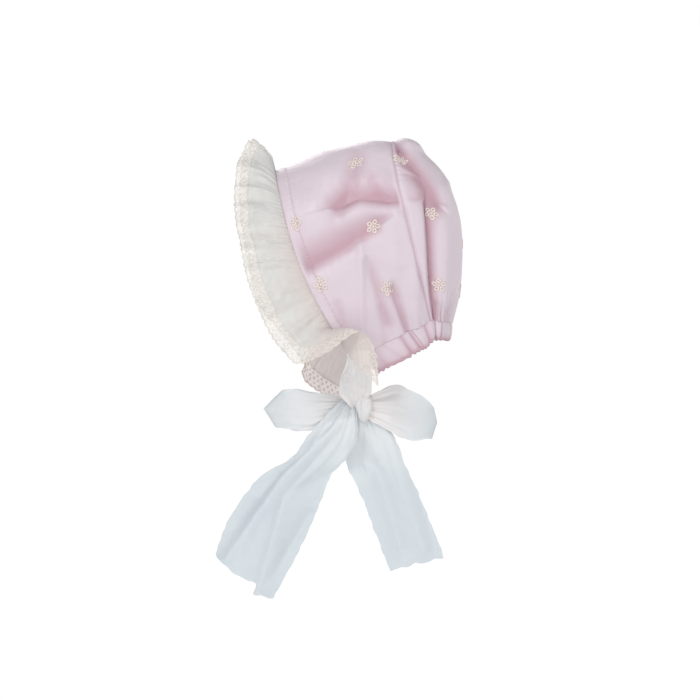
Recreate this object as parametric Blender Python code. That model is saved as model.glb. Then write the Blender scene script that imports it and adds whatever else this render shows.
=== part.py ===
"""Baby bonnet of satin cotton with a gathered voile ruffle, lace edging and ribbon ties in a bow.

Metres, +Z up. The face opening looks towards -X and the wearer's left side towards -Y. The origin is on
the inside of the crown, at the top of the head.
"""

import math

import bpy
import numpy as np

MM = 0.001

# Head panels
PANEL_DEPTH = 92 * MM
BROW_DROP = 23 * MM
EAR_DROP = 147.5 * MM
EAR_SETBACK = 59.5 * MM
BACK_SEAM_DROP = 140.5 * MM
BACK_SEAM_LEAN = 28 * MM
BACK_DEPTH = 53.6 * MM
BACK_DROP = 141.8 * MM
HEAD_WIDTH = 116 * MM
FACE_SEAM_BOW = 10 * MM
WIDEST_AT = 0.42
WALL = 1.2 * MM
BAND_WIDTH = 7.5 * MM
BAND_RISE = 0.5 * MM
SEAM_GAP = 0.5 * MM

# Neck casing
CASING_HEIGHT = 18.5 * MM
CASING_THICKNESS = 3.6 * MM
CASING_START = 0.2
RUCHES = 20
RUCHE_DEPTH = 0.42

# Ruffle and lace
RUFFLE_DEPTH = 42 * MM
LACE_DEPTH = 11 * MM
LACE_GAP = 0.9 * MM
VOILE = 1.0 * MM
RUFFLE_GAP = 0.95 * MM
RUFFLE_WAVES = 18
WAVE_HEIGHT = 4.7 * MM
NEAR_END = -0.93
FAR_END = 0.965
FLUTE_START = -0.77

# Ties and bow
RIBBON = 1.0 * MM
RIBBON_GAP = 0.4 * MM
TIE_WIDTH = 19 * MM
TIE_ROOT_AT = 0.125
TIE_GAP = 1.3 * MM
TIE_FALL = 18 * MM
TIE_TURN = 13 * MM
TIE_SPREAD = 9 * MM
PLEAT_HEIGHT = 1.2 * MM
BOW_SET_BACK = 9.1 * MM
BOW_SIDE = -18 * MM
BOW_FALL = 37 * MM
KNOT_ENTRY = 6 * MM
LEFT_ENTRY_SIDE = -3 * MM
RIGHT_ENTRY_SIDE = 4 * MM
KNOT_WIDTH = 13.4 * MM
KNOT_DEPTH = 17 * MM
KNOT_HEIGHT = 22.4 * MM
FRONT_LOOP = 71 * MM
BACK_LOOP = 50 * MM
LOOP_HALF = 20 * MM
LOOP_OPEN = 13 * MM
LOOP_ROOT = 4.6 * MM
LOOP_SIDE = 2 * MM
FRONT_TAIL_SIDE = -2.6 * MM
BACK_TAIL_SIDE = 3 * MM
FRONT_TAIL = 165 * MM
BACK_TAIL = 130 * MM
HEM_STEP = 8 * MM
HEM_BOW = 6 * MM
FRONT_LOOP_ROUNDING = 0.17
BACK_LOOP_ROUNDING = 0.06


def table(names, *rows):
    """A table of named columns, a row for each section"""
    return {name: np.array(column, float) for name, column in zip(names.split(), zip(*rows))}


# Crown sections from the face seam (share 0) to the back seam (share 1). top_x and neck are shares of the
# way back, top_z a share of the brow's drop, the widths shares of the head's width
SECTIONS = table(
    "share top_x top_z neck width neck_width bow bow_peak",
    (0.0, 0.00, 0.00, 0.0, 0.95, 0.81, 1.00, 1.0),
    (0.3, 0.30, 0.47, 0.3, 0.99, 0.79, 0.75, 0.9),
    (0.6, 0.60, 0.84, 0.6, 1.00, 0.75, 0.50, 0.7),
    (0.8, 0.80, 1.03, 0.8, 1.00, 0.70, 0.40, 0.6),
    (1.0, 1.00, 1.00, 1.0, 0.98, 0.62, 0.42, 0.5),
)

# Centre line of the back panel, as shares of its depth and drop
BACK_LINE = table(
    "share x z",
    (0.00, 0.00, 0.000),
    (0.07, 0.18, -0.014),
    (0.13, 0.33, 0.004),
    (0.21, 0.44, 0.066),
    (0.33, 0.68, 0.178),
    (0.45, 0.87, 0.300),
    (0.70, 1.00, 0.600),
    (0.87, 0.95, 0.830),
    (1.00, 0.84, 1.000),
)

# Folds as seen from the side: three points each, x as shares of the panel's depth and z as shares of the
# ear drop, then half width and depth as shares of the panel's depth. Depth is negative in a valley
CROWN_FOLDS = table(
    "x0 z0 x1 z1 x2 z2 width depth",
    (-0.62, 0.655, -0.34, 0.570, -0.09, 0.475, 0.070, -0.050),
    (-0.42, 0.342, -0.24, 0.305, 0.11, 0.326, 0.060, -0.050),
    (-0.30, 0.120, -0.30, 0.240, -0.36, 0.370, 0.080, -0.024),
    (-0.38, 0.405, -0.17, 0.365, 0.08, 0.375, 0.055, 0.026),
    (-0.60, 0.760, -0.35, 0.680, -0.15, 0.600, 0.070, 0.018),
    (-0.19, 0.595, -0.19, 0.780, -0.19, 0.990, 0.055, 0.020),
    (-0.13, 0.664, -0.08, 0.754, -0.04, 0.833, 0.050, -0.016),
    (0.08, 0.823, 0.14, 0.913, 0.20, 1.000, 0.042, -0.034),
    (0.25, 0.754, 0.25, 0.860, 0.26, 0.966, 0.065, 0.024),
    (-0.08, 0.204, -0.06, 0.262, 0.00, 0.305, 0.045, -0.012),
)
BACK_FOLDS = table(
    "x0 z0 x1 z1 x2 z2 width depth",
    (0.09, 0.030, 0.28, 0.110, 0.44, 0.280, 0.055, -0.055),
    (0.10, -0.010, 0.34, 0.050, 0.51, 0.210, 0.055, 0.022),
    (0.14, 0.320, 0.26, 0.305, 0.38, 0.289, 0.035, -0.014),
    (0.18, 0.357, 0.27, 0.622, 0.37, 0.929, 0.040, 0.018),
    (0.34, 0.384, 0.37, 0.622, 0.38, 0.939, 0.048, -0.055),
    (0.48, 0.252, 0.48, 0.516, 0.48, 0.833, 0.055, 0.018),
)

# Way of the ruffle's threads from its seam: where each starts and where it ends up pointing, back, outward
# and up, from the top (share 0) down each side
NEAR_REACH = table(
    "share x0 out0 z0 x1 out1 z1 wave",
    (0.00, -0.20, 0.00, 0.93, -0.62, 0.00, 0.27, 0.6),
    (0.15, -0.40, 0.15, 0.66, -1.00, 0.05, 0.05, 0.9),
    (0.30, -0.70, 0.45, 0.35, -1.00, 0.10, -0.15, 1.0),
    (0.50, -0.90, 0.40, 0.05, -1.00, 0.05, 0.05, 1.0),
    (0.68, -0.90, 0.35, -0.15, -1.00, 0.05, -0.45, 1.0),
    (0.77, -0.65, 0.45, -0.40, -0.75, 0.05, -1.00, 0.7),
    (0.825, -0.45, 0.75, -0.05, -0.45, 0.00, -1.35, 0.1),
    (0.850, -0.35, 1.00, 0.20, 0.10, 0.10, -1.06, 0.0),
    (0.880, -0.15, 1.05, 0.50, 1.05, 0.25, -0.35, 0.0),
    (0.905, -0.10, 1.05, 0.30, 1.40, -0.05, -0.70, 0.0),
    (0.930, -0.10, 0.95, 0.00, 1.40, -0.25, -1.45, 0.0),
)
FAR_REACH = table(
    "share x0 out0 z0 x1 out1 z1 wave",
    (0.00, -0.20, 0.00, 0.93, -0.62, 0.00, 0.27, 0.6),
    (0.15, -0.40, 0.15, 0.66, -1.00, 0.05, 0.05, 0.9),
    (0.30, -0.70, 0.45, 0.35, -1.00, 0.10, -0.15, 1.0),
    (0.50, -0.90, 0.40, 0.05, -1.00, 0.05, 0.05, 1.0),
    (0.68, -0.90, 0.35, -0.15, -1.00, 0.05, -0.45, 1.0),
    (0.78, -0.52, 0.35, -0.60, -0.38, 0.05, -1.00, 0.8),
    (0.86, -0.50, 0.30, -0.80, -0.56, 0.00, -1.10, 0.6),
    (0.93, -0.10, 0.35, -0.92, -0.20, 0.05, -1.10, 0.4),
    (0.965, 0.06, 0.40, -0.92, 0.10, 0.10, -1.05, 0.2),
)

# Loops of the bow from the knot (share 0) to the fold (share 1), as shares of LOOP_HALF
FRONT_LOOP_SHAPE = table(
    "share middle half",
    (0.0, 0.02, 0.36),
    (0.2, 0.02, 0.46),
    (0.5, -0.14, 0.75),
    (0.8, -0.05, 0.77),
    (1.0, -0.03, 0.70),
)
BACK_LOOP_SHAPE = table(
    "share middle half",
    (0.0, 0.02, 0.42),
    (0.15, -0.02, 0.66),
    (0.38, -0.07, 0.99),
    (0.6, -0.30, 0.96),
    (0.87, -0.46, 0.76),
    (1.0, -0.58, 0.58),
)

# Tails, both edges as shares of the tail's length from where it leaves the knot, and how far it stands to
# the near side
FRONT_TAIL_SHAPE = table(
    "share left_x left_z right_x right_z side",
    (0.00, -0.064, 0.050, 0.000, -0.012, 0.000),
    (0.10, -0.147, -0.040, 0.007, -0.128, 0.022),
    (0.22, -0.219, -0.120, -0.037, -0.225, 0.026),
    (0.36, -0.302, -0.232, -0.112, -0.308, 0.028),
    (0.50, -0.432, -0.306, -0.153, -0.402, 0.026),
    (0.66, -0.527, -0.410, -0.203, -0.528, 0.020),
    (0.82, -0.612, -0.545, -0.267, -0.668, 0.014),
    (1.00, -0.662, -0.690, -0.362, -0.845, 0.010),
)
BACK_TAIL_SHAPE = table(
    "share left_x left_z right_x right_z side",
    (0.00, -0.050, 0.000, 0.065, 0.000, 0.000),
    (0.12, -0.090, -0.110, 0.175, -0.090, 0.000),
    (0.28, -0.105, -0.240, 0.250, -0.260, 0.004),
    (0.48, -0.030, -0.400, 0.340, -0.450, 0.012),
    (0.68, 0.040, -0.580, 0.410, -0.630, 0.016),
    (0.85, 0.095, -0.730, 0.460, -0.750, 0.018),
    (1.00, 0.160, -0.885, 0.480, -0.805, 0.018),
)
FRONT_TAIL_FOLDS = table(
    "x0 z0 x1 z1 x2 z2 width depth",
    (-0.09, -0.080, -0.34, -0.310, -0.61, -0.700, 0.030, -0.020),
    (-0.06, -0.090, -0.34, -0.420, -0.46, -0.860, 0.035, 0.018),
    (-0.12, -0.310, -0.20, -0.350, -0.32, -0.400, 0.025, -0.010),
    (-0.22, -0.500, -0.30, -0.640, -0.40, -0.780, 0.035, -0.012),
)
BACK_TAIL_FOLDS = table(
    "x0 z0 x1 z1 x2 z2 width depth",
    (-0.04, -0.030, -0.02, -0.130, 0.00, -0.240, 0.045, -0.026),
    (0.07, -0.260, 0.15, -0.510, 0.22, -0.760, 0.050, -0.016),
    (0.14, -0.060, 0.24, -0.410, 0.36, -0.760, 0.050, 0.014),
)


def on_curve(rows, name, at):
    """A column's value at a share, on a smooth curve through the table's rows"""
    x = rows["share"]
    y = rows[name]
    slope = np.gradient(y, x)
    at = np.clip(at, x[0], x[-1])
    i = np.clip(np.searchsorted(x, at, side="right") - 1, 0, len(x) - 2)
    step = x[i + 1] - x[i]
    s = (at - x[i]) / step
    ends = y[i] * (1 + 2 * s) * (1 - s) ** 2 + y[i + 1] * s * s * (3 - 2 * s)
    return ends + step * (slope[i] * s * (1 - s) ** 2 - slope[i + 1] * s * s * (1 - s))


def ease(s):
    """0 to 1 with a level start and end"""
    s = np.clip(s, 0, 1)
    return s * s * (3 - 2 * s)


def unit(vectors):
    """Vectors scaled to length 1"""
    return vectors / np.maximum(np.linalg.norm(vectors, axis=-1, keepdims=True), 1e-12)


def fold_push(points, folds, across, down):
    """How far the folds push points out, from where the points lie in the side view"""
    push = np.zeros(points.shape[:-1])
    place = points[..., [0, 2]]
    for x0, z0, x1, z1, x2, z2, width, depth in zip(*folds.values()):
        corners = np.array([(x0 * across, z0 * down), (x1 * across, z1 * down), (x2 * across, z2 * down)])
        away = np.full(push.shape, np.inf)
        for start, end in zip(corners[:-1], corners[1:]):
            line = end - start
            along = np.clip(((place - start) @ line) / (line @ line), 0, 1)
            away = np.minimum(away, np.linalg.norm(place - start - along[..., None] * line, axis=-1))
        push += depth * across * np.exp(-((away / (width * across)) ** 2))
    return push


def both_sides(points, folds):
    """The near side's folds, and on the far side the same ones a little moved and shallower"""
    near = fold_push(points, folds, PANEL_DEPTH, -EAR_DROP)
    moved = points + np.array((0.04 * PANEL_DEPTH, 0, 0.03 * EAR_DROP))
    far = 0.8 * fold_push(moved, folds, PANEL_DEPTH, -EAR_DROP)
    share = ease(0.5 + points[..., 1] / (0.35 * HEAD_WIDTH))
    return near * (1 - share) + far * share


def grid_normals(points):
    """Normals of a grid of points, towards its right-hand side"""
    return unit(np.cross(np.gradient(points, axis=0), np.gradient(points, axis=1)))


def brow_point():
    """Top of the face seam in the side view"""
    return np.array((-PANEL_DEPTH * 0.925, -BROW_DROP * 0.97))


def ear_corner():
    """Foot of the face seam in the side view"""
    return brow_point() + np.array((EAR_SETBACK, -EAR_DROP))


def bow_place():
    """Middle of the bow's knot, below and behind the face seam's foot"""
    x, z = ear_corner() + np.array((BOW_SET_BACK, -BOW_FALL))
    return np.array((x, BOW_SIDE, z))


def crown_line(u, v):
    """One line over the crown at share u from face seam to back seam, v from -1 (near neck) to 1 (far)"""
    brow = brow_point()
    corner = ear_corner()
    seam_top = brow + np.array((PANEL_DEPTH, BROW_DROP))
    nape = seam_top + np.array((BACK_SEAM_LEAN, -BACK_SEAM_DROP))
    top = brow + np.array((PANEL_DEPTH * on_curve(SECTIONS, "top_x", u), BROW_DROP * on_curve(SECTIONS, "top_z", u)))
    neck = corner + on_curve(SECTIONS, "neck", u) * (nape - corner)
    half = on_curve(SECTIONS, "width", u) * HEAD_WIDTH / 2
    neck_half = on_curve(SECTIONS, "neck_width", u) * HEAD_WIDTH / 2
    turn = np.linspace(0, 1, 60)
    drop = np.concatenate([WIDEST_AT * (1 - np.cos(turn * math.pi / 2)), WIDEST_AT + (1 - WIDEST_AT) * turn[1:]])
    side = np.concatenate([half * np.sin(turn * math.pi / 2), half - (half - neck_half) * turn[1:] ** 2])
    chord = neck - top
    front = np.array((chord[1], -chord[0])) / np.hypot(*chord)
    bow = FACE_SEAM_BOW * on_curve(SECTIONS, "bow", u) * np.sin(math.pi * drop ** on_curve(SECTIONS, "bow_peak", u))
    x = top[0] + drop * chord[0] + bow * front[0]
    z = top[1] + drop * chord[1] + bow * front[1]
    run = np.concatenate([[0], np.cumsum(np.hypot(np.hypot(np.diff(x), np.diff(side)), np.diff(z)))])
    at = np.abs(v) * run[-1]
    return np.stack([np.interp(at, run, x), np.sign(v) * np.interp(at, run, side), np.interp(at, run, z)], -1)


def crown_points(us, vs):
    """The crown panel's middle surface with its folds, a row for each u"""
    base = np.array([crown_line(u, vs) for u in us])
    out = grid_normals(base)
    inside = ease(us / 0.07) * ease((1 - us) / 0.07)
    push = both_sides(base, CROWN_FOLDS) * inside[:, None]
    band = BAND_RISE * (1 - ease((us * PANEL_DEPTH - BAND_WIDTH) / (0.3 * BAND_WIDTH) + 0.5))
    return base + out * (push + band[:, None])[..., None]


def back_points(vs, ws):
    """The back panel's middle surface: a row for each v from the top to the nape, w from side to side"""
    seam = crown_line(1.0, vs)
    middle_x = seam[0, 0] + BACK_DEPTH * on_curve(BACK_LINE, "x", vs)
    middle_z = seam[0, 2] - BACK_DROP * on_curve(BACK_LINE, "z", vs)
    turn = ws * math.pi / 2
    round_x = np.cos(turn) ** 0.85
    round_y = np.sign(ws) * np.abs(np.sin(turn)) ** 0.85
    x = seam[:, :1] + SEAM_GAP + (middle_x[:, None] - seam[:, :1]) * round_x
    y = seam[:, 1:2] * round_y
    z = seam[:, 2:] + (middle_z[:, None] - seam[:, 2:]) * round_x
    base = np.stack([x, y, z], -1)
    out = grid_normals(base)
    out[0] = out[1]
    inside = ease((1 - np.abs(ws)) / 0.16)[None, :] * ease(vs / 0.05)[:, None]
    return base + out * (both_sides(base, BACK_FOLDS) * inside)[..., None]


def grid_mesh(points, flip=False):
    """Vertices and faces of a grid of points"""
    rows, columns = points.shape[:2]
    number = np.arange(rows * columns).reshape(rows, columns)
    faces = np.stack([number[:-1, :-1], number[:-1, 1:], number[1:, 1:], number[1:, :-1]], -1).reshape(-1, 4)
    if flip:
        faces = faces[:, ::-1]
    return points.reshape(-1, 3), faces.tolist()


def add_object(name, vertices, faces, material, parent, merge=False):
    """A named object whose mesh is given in its parent's frame"""
    mesh = bpy.data.meshes.new(name)
    mesh.from_pydata([tuple(float(c) for c in p) for p in vertices], [], [tuple(f) for f in faces])
    mesh.materials.append(material)
    piece = bpy.data.objects.new(name, mesh)
    bpy.context.collection.objects.link(piece)
    piece.parent = parent
    if merge:
        weld = piece.modifiers.new("weld", "WELD")
        weld.merge_threshold = 0.00002
    return piece


def add_wall(piece, thickness):
    """Thickness to both sides of a piece's surface"""
    wall = piece.modifiers.new("wall", "SOLIDIFY")
    wall.thickness = thickness
    wall.offset = 0
    wall.use_even_offset = False
    wall.use_rim = True


def make_material(name, colour, roughness):
    """A plain cloth material"""
    material = bpy.data.materials.new(name)
    material.use_nodes = True
    shader = material.node_tree.nodes["Principled BSDF"]
    shader.inputs["Base Color"].default_value = (*colour, 1)
    shader.inputs["Roughness"].default_value = roughness
    shader.inputs["Metallic"].default_value = 0
    return material


def pink_satin(name):
    """Pale pink satin cotton"""
    return make_material(name, (0.72, 0.56, 0.61), 0.42)


def ivory_voile(name):
    """Ivory sheer voile"""
    return make_material(name, (0.68, 0.66, 0.62), 0.7)


def ivory_lace(name):
    """Ivory cotton lace"""
    return make_material(name, (0.74, 0.70, 0.65), 0.8)


def white_ribbon(name):
    """White sheer ribbon"""
    return make_material(name, (0.70, 0.76, 0.80), 0.6)


def crown_panel(parent):
    """The panel over the head from ear to ear, with its stitched band at the face"""
    band = BAND_WIDTH / PANEL_DEPTH
    us = np.concatenate([[0, 0.5 * band, band], np.linspace(1.6 * band, 1, 14)])
    vs = np.linspace(-1, 1, 33)
    vertices, faces = grid_mesh(crown_points(us, vs))
    piece = add_object("crown_panel", vertices, faces, pink_satin("crown_panel"), parent)
    add_wall(piece, WALL)


def back_panel(parent):
    """The gathered, puffed panel inside the back seam"""
    vertices, faces = grid_mesh(back_points(np.linspace(0, 1, 17), np.linspace(-1, 1, 19)))
    piece = add_object("back_panel", vertices, faces, pink_satin("back_panel"), parent, merge=True)
    add_wall(piece, WALL)


def neck_line(count):
    """The panels' lower edge from the near front round the nape to the far front, evenly spaced"""
    us = np.linspace(CASING_START, 1, 24)
    near = crown_points(us, np.linspace(-1, 1, 33))[:, 0]
    far = crown_points(us, np.linspace(-1, 1, 33))[::-1, -1]
    nape = back_points(np.linspace(0, 1, 17), np.linspace(-1, 1, 41))[-1]
    line = np.concatenate([near[:-1], nape, far[1:]])
    run = np.concatenate([[0], np.cumsum(np.linalg.norm(np.diff(line, axis=0), axis=1))])
    at = np.linspace(0, run[-1], count)
    return np.stack([np.interp(at, run, line[:, i]) for i in range(3)], -1)


def neck_casing(parent):
    """The elastic casing round the nape, in ruches"""
    line = neck_line(RUCHES * 4 + 1)
    share = np.linspace(-1, 1, len(line))
    nape = ease(1.6 - 2.2 * np.abs(share))
    down = unit(np.stack([0.42 - 0.52 * nape, 0 * share, -0.9 + 0 * share], -1))
    along = unit(np.gradient(line, axis=0))
    out = unit(np.cross(along, down))
    height = CASING_HEIGHT * (1 - 0.24 * nape)
    ruche = np.abs(np.sin(math.pi * RUCHES * (share + 1) / 2)) ** 0.6
    half = CASING_THICKNESS / 2 * (1 - RUCHE_DEPTH + RUCHE_DEPTH * ruche * 1.6)
    profile = ((0.0, 0.5), (0.14, 1.0), (0.5, 1.15), (0.86, 1.0), (1.0, 0.5), (1.0, -0.4), (0.5, -0.8), (0.0, -0.4))
    rings = []
    for drop, side in profile:
        reach = SEAM_GAP + drop * height * (1 if drop < 0.5 else 0.94 + 0.06 * ruche)
        width = side * (half if abs(side) > 0.6 else CASING_THICKNESS / 2)
        rings.append(line + down * (reach * np.ones_like(share))[:, None] + out * (width * np.ones_like(share))[:, None])
    points = np.array(rings).transpose(1, 0, 2)
    closed = np.concatenate([points, points[:, :1]], axis=1)
    vertices, faces = grid_mesh(closed, flip=True)
    ends = len(profile) + 1
    first = list(range(ends - 1))
    last = [len(vertices) - ends + i for i in range(ends - 1)]
    faces += [first, last[::-1]]
    add_object("neck_casing", vertices, faces, pink_satin("neck_casing"), parent, merge=True)


def ruffle_columns():
    """Seam shares of the ruffle's columns, closer together in the turned-back flute at the near end"""
    flute = np.linspace(NEAR_END, FLUTE_START, 20)
    rest = np.linspace(FLUTE_START, FAR_END, RUFFLE_WAVES * 6 + 1)
    return np.concatenate([flute[:-1], rest])


def ruffle_points(vs, rs):
    """The ruffle's surface, a row for each r from the seam (0) to the free edge (1)"""
    tables = [NEAR_REACH if v < 0 else FAR_REACH for v in vs]
    side = np.where(vs < 0, -1.0, 1.0)

    def way(end):
        parts = [[on_curve(rows, part + end, abs(v)) for part in ("x", "out", "z")] for rows, v in zip(tables, vs)]
        return np.array(parts) * np.stack([np.ones_like(side), side, np.ones_like(side)], -1)

    start_way = way("0")
    end_way = way("1")
    seam = crown_line(0.0, vs)
    behind = crown_line(0.02, vs)
    root = seam + unit(seam - behind) * RUFFLE_GAP
    height = np.array([on_curve(rows, "wave", abs(v)) for rows, v in zip(tables, vs)])
    phase = RUFFLE_WAVES * (vs - FLUTE_START) / (FAR_END - FLUTE_START)
    wave = np.sin(2 * math.pi * phase + 1.25 * np.sin(2.3 * phase + 0.4)) * (0.78 + 0.40 * np.sin(1.7 * phase + 1))
    points = []
    for r in rs:
        middle = root + RUFFLE_DEPTH * (start_way * (r - r * r / 2) + end_way * (r * r / 2))
        heading = unit(start_way * (1 - r) + end_way * r)
        out = unit(np.cross(np.gradient(middle, axis=0), heading))
        points.append(middle + out * (WAVE_HEIGHT * height * wave * r**1.3)[:, None])
    return np.array(points)


def face_ruffle(parent):
    """The gathered voile ruffle along the face seam"""
    lace_at = 1 - LACE_DEPTH / RUFFLE_DEPTH
    rs = lace_at * np.array((0, 0.18, 0.46, 0.78, 1))
    vertices, faces = grid_mesh(ruffle_points(ruffle_columns(), rs))
    piece = add_object("face_ruffle", vertices, faces, ivory_voile("face_ruffle"), parent)
    add_wall(piece, VOILE)


def lace_edging(parent):
    """The lace along the ruffle's free edge"""
    lace_at = 1 - (LACE_DEPTH - LACE_GAP) / RUFFLE_DEPTH
    rs = np.array((lace_at, (1 + lace_at) / 2, 1))
    vertices, faces = grid_mesh(ruffle_points(ruffle_columns(), rs))
    piece = add_object("lace_edging", vertices, faces, ivory_lace("lace_edging"), parent)
    add_wall(piece, VOILE)


def tie(name, side, knot_side, parent):
    """A ribbon from a front corner of the neck down to the knot: side -1 near, 1 far"""
    skin = crown_points(np.linspace(0, 1, 41), np.linspace(-1, 1, 81))
    column = 1 if side < 0 else -2
    row = round(TIE_ROOT_AT * (len(skin) - 1))
    outward = grid_normals(skin)[row, column]
    backward = unit(skin[row + 2, column] - skin[row - 2, column])
    root = skin[row, column] + outward * (WALL / 2 + RIBBON / 2 + TIE_GAP)
    knot = bow_place() + np.array((-KNOT_ENTRY, knot_side, KNOT_HEIGHT / 2 + RIBBON_GAP + PLEAT_HEIGHT / 2))
    first = root + np.array((0, 0.16 * (root[1] - knot[1]), -TIE_FALL))
    second = knot + np.array((0, side * TIE_SPREAD, TIE_TURN))
    ts = np.linspace(0, 1, 10)[:, None]
    path = root * (1 - ts) ** 3 + 3 * first * ts * (1 - ts) ** 2 + 3 * second * ts**2 * (1 - ts) + knot * ts**3
    across = np.linspace(-1, 1, 9)
    width = TIE_WIDTH / 2 * (0.72 + 0.42 * ease(ts[:, 0] * 1.6))
    heading = unit(np.gradient(path, axis=0))
    level = backward + (np.array((1.0, 0, 0)) - backward) * ease(ts * 1.5)
    sideways = unit(np.cross(heading, np.cross(level, heading)))
    out = unit(np.cross(heading, sideways))
    pleat = PLEAT_HEIGHT * np.cos(across * math.pi * 3)[None, :] * ease(ts * 2)
    points = path[:, None] + sideways[:, None] * (width[:, None] * across)[..., None] + out[:, None] * pleat[..., None]
    vertices, faces = grid_mesh(points)
    piece = add_object(name, vertices, faces, white_ribbon(name), parent)
    add_wall(piece, RIBBON)


def bow_knot(parent):
    """The wrap of the knot, narrowing downwards"""
    around = np.linspace(0, 2 * math.pi, 15)[:-1]
    rise = np.linspace(-math.pi / 2, math.pi / 2, 10)
    bulge = np.cos(rise) ** 0.55
    height = np.sign(rise) * np.abs(np.sin(rise)) ** 0.7 * KNOT_HEIGHT / 2
    taper = 1 - 0.35 * ease(-height / (KNOT_HEIGHT / 2))
    x = KNOT_WIDTH / 2 * np.sign(np.cos(around)) * np.abs(np.cos(around)) ** 0.7
    y = KNOT_DEPTH / 2 * np.sign(np.sin(around)) * np.abs(np.sin(around)) ** 0.8
    size = (bulge * taper)[:, None]
    points = np.stack([size * x, size * y, height[:, None] + 0 * x], -1)
    closed = np.concatenate([points, points[:, :1]], axis=1)
    vertices, faces = grid_mesh(closed)
    add_object("bow_knot", vertices, faces, white_ribbon("bow_knot"), parent, merge=True)


def loop(name, shape, length, rounding, side, parent):
    """A loop of the bow: side -1 reaches to the front, 1 to the back"""
    round_trip = np.linspace(0, 1, 17)[:, None]
    across = np.linspace(-1, 1, 7)[None, :]
    share = 1 - np.abs(2 * round_trip - 1) ** 1.4
    layer = np.where(round_trip < 0.5, -1.0, 1.0)
    layer[8] = 0
    reach = length * share * (1 - rounding * across**2 * share**2)
    opening = LOOP_ROOT / 2 + (LOOP_OPEN - LOOP_ROOT) / 2 * ease(share * 1.5)
    closing = np.sqrt(np.clip(1 - share**4, 0, 1))
    ripple = 0.8 * MM * (1 - share) * np.cos(across * math.pi * 2.5)
    middle = on_curve(shape, "middle", share) * LOOP_HALF
    half = on_curve(shape, "half", share) * LOOP_HALF
    x = side * (KNOT_WIDTH / 2 + RIBBON_GAP + reach)
    y = layer * opening * closing + ripple + LOOP_SIDE
    z = middle + half * across
    points = np.stack(np.broadcast_arrays(x, y, z), -1)
    vertices, faces = grid_mesh(points, flip=side < 0)
    piece = add_object(name, vertices, faces, white_ribbon(name), parent)
    add_wall(piece, RIBBON)


def tail(name, shape, folds, length, start, step_at, parent):
    """A free end of the ribbon, from where it leaves the knot"""
    ts = np.linspace(0, 1, 15)
    across = np.linspace(0, 1, 9)
    side = -on_curve(shape, "side", ts)
    left = np.stack([on_curve(shape, "left_x", ts), side, on_curve(shape, "left_z", ts)], -1)
    right = np.stack([on_curve(shape, "right_x", ts), side, on_curve(shape, "right_z", ts)], -1)
    points = length * (left[:, None] + (right - left)[:, None] * across[None, :, None])
    push = fold_push(points, folds, length, length)
    points[..., 1] -= push * ease(ts * 5)[:, None]
    if step_at:
        heading = unit(points[-1] - points[-2])
        points[-1] += heading * (HEM_BOW * np.sin(math.pi * across) ** 0.5 + HEM_STEP * (across > step_at))[:, None]
    vertices, faces = grid_mesh(points + np.array(start))
    piece = add_object(name, vertices, faces, white_ribbon(name), parent)
    add_wall(piece, RIBBON)


def front_tail(parent):
    """The tail that leaves the knot's front side and hangs towards the face"""
    start = (-KNOT_WIDTH / 2, FRONT_TAIL_SIDE, 0)
    tail("front_tail", FRONT_TAIL_SHAPE, FRONT_TAIL_FOLDS, FRONT_TAIL, start, 0.7, parent)


def back_tail(parent):
    """The tail that leaves the knot's underside and hangs towards the back"""
    start = (0, BACK_TAIL_SIDE, -KNOT_HEIGHT / 2 - RIBBON_GAP)
    tail("back_tail", BACK_TAIL_SHAPE, BACK_TAIL_FOLDS, BACK_TAIL, start, 0, parent)


def add_empty(name, place, parent=None):
    """An empty that carries a group of pieces"""
    empty = bpy.data.objects.new(name, None)
    bpy.context.collection.objects.link(empty)
    empty.location = place
    empty.parent = parent
    return empty


def main():
    """Clear the scene and build the bonnet"""
    for old in list(bpy.data.objects):
        bpy.data.objects.remove(old)
    bonnet = add_empty("bonnet", (0, 0, 0))
    bow = add_empty("bow", bow_place(), bonnet)
    crown_panel(bonnet)
    back_panel(bonnet)
    neck_casing(bonnet)
    face_ruffle(bonnet)
    lace_edging(bonnet)
    tie("left_tie", -1, LEFT_ENTRY_SIDE, bonnet)
    tie("right_tie", 1, RIGHT_ENTRY_SIDE, bonnet)
    bow_knot(bow)
    loop("front_loop", FRONT_LOOP_SHAPE, FRONT_LOOP, FRONT_LOOP_ROUNDING, -1, bow)
    loop("back_loop", BACK_LOOP_SHAPE, BACK_LOOP, BACK_LOOP_ROUNDING, 1, bow)
    front_tail(bow)
    back_tail(bow)


main()
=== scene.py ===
import math

import bpy
import numpy as np
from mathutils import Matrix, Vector


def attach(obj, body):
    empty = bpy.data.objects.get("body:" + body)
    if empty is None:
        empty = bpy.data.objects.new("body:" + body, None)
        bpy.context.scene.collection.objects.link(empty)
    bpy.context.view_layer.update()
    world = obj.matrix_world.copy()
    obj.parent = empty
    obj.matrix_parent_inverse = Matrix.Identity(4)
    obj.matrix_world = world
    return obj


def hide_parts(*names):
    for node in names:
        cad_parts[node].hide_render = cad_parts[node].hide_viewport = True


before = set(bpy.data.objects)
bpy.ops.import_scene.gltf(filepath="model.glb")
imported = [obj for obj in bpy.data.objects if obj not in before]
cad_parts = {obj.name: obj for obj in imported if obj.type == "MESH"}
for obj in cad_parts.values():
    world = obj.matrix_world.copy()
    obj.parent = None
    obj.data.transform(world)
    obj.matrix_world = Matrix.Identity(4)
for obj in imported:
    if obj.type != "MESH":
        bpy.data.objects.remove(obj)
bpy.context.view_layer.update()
mm = 0.001


# Shape helpers

def columnTable(names, *rows):
    return {name: np.array(column, float) for name, column in zip(names.split(), zip(*rows))}


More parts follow.
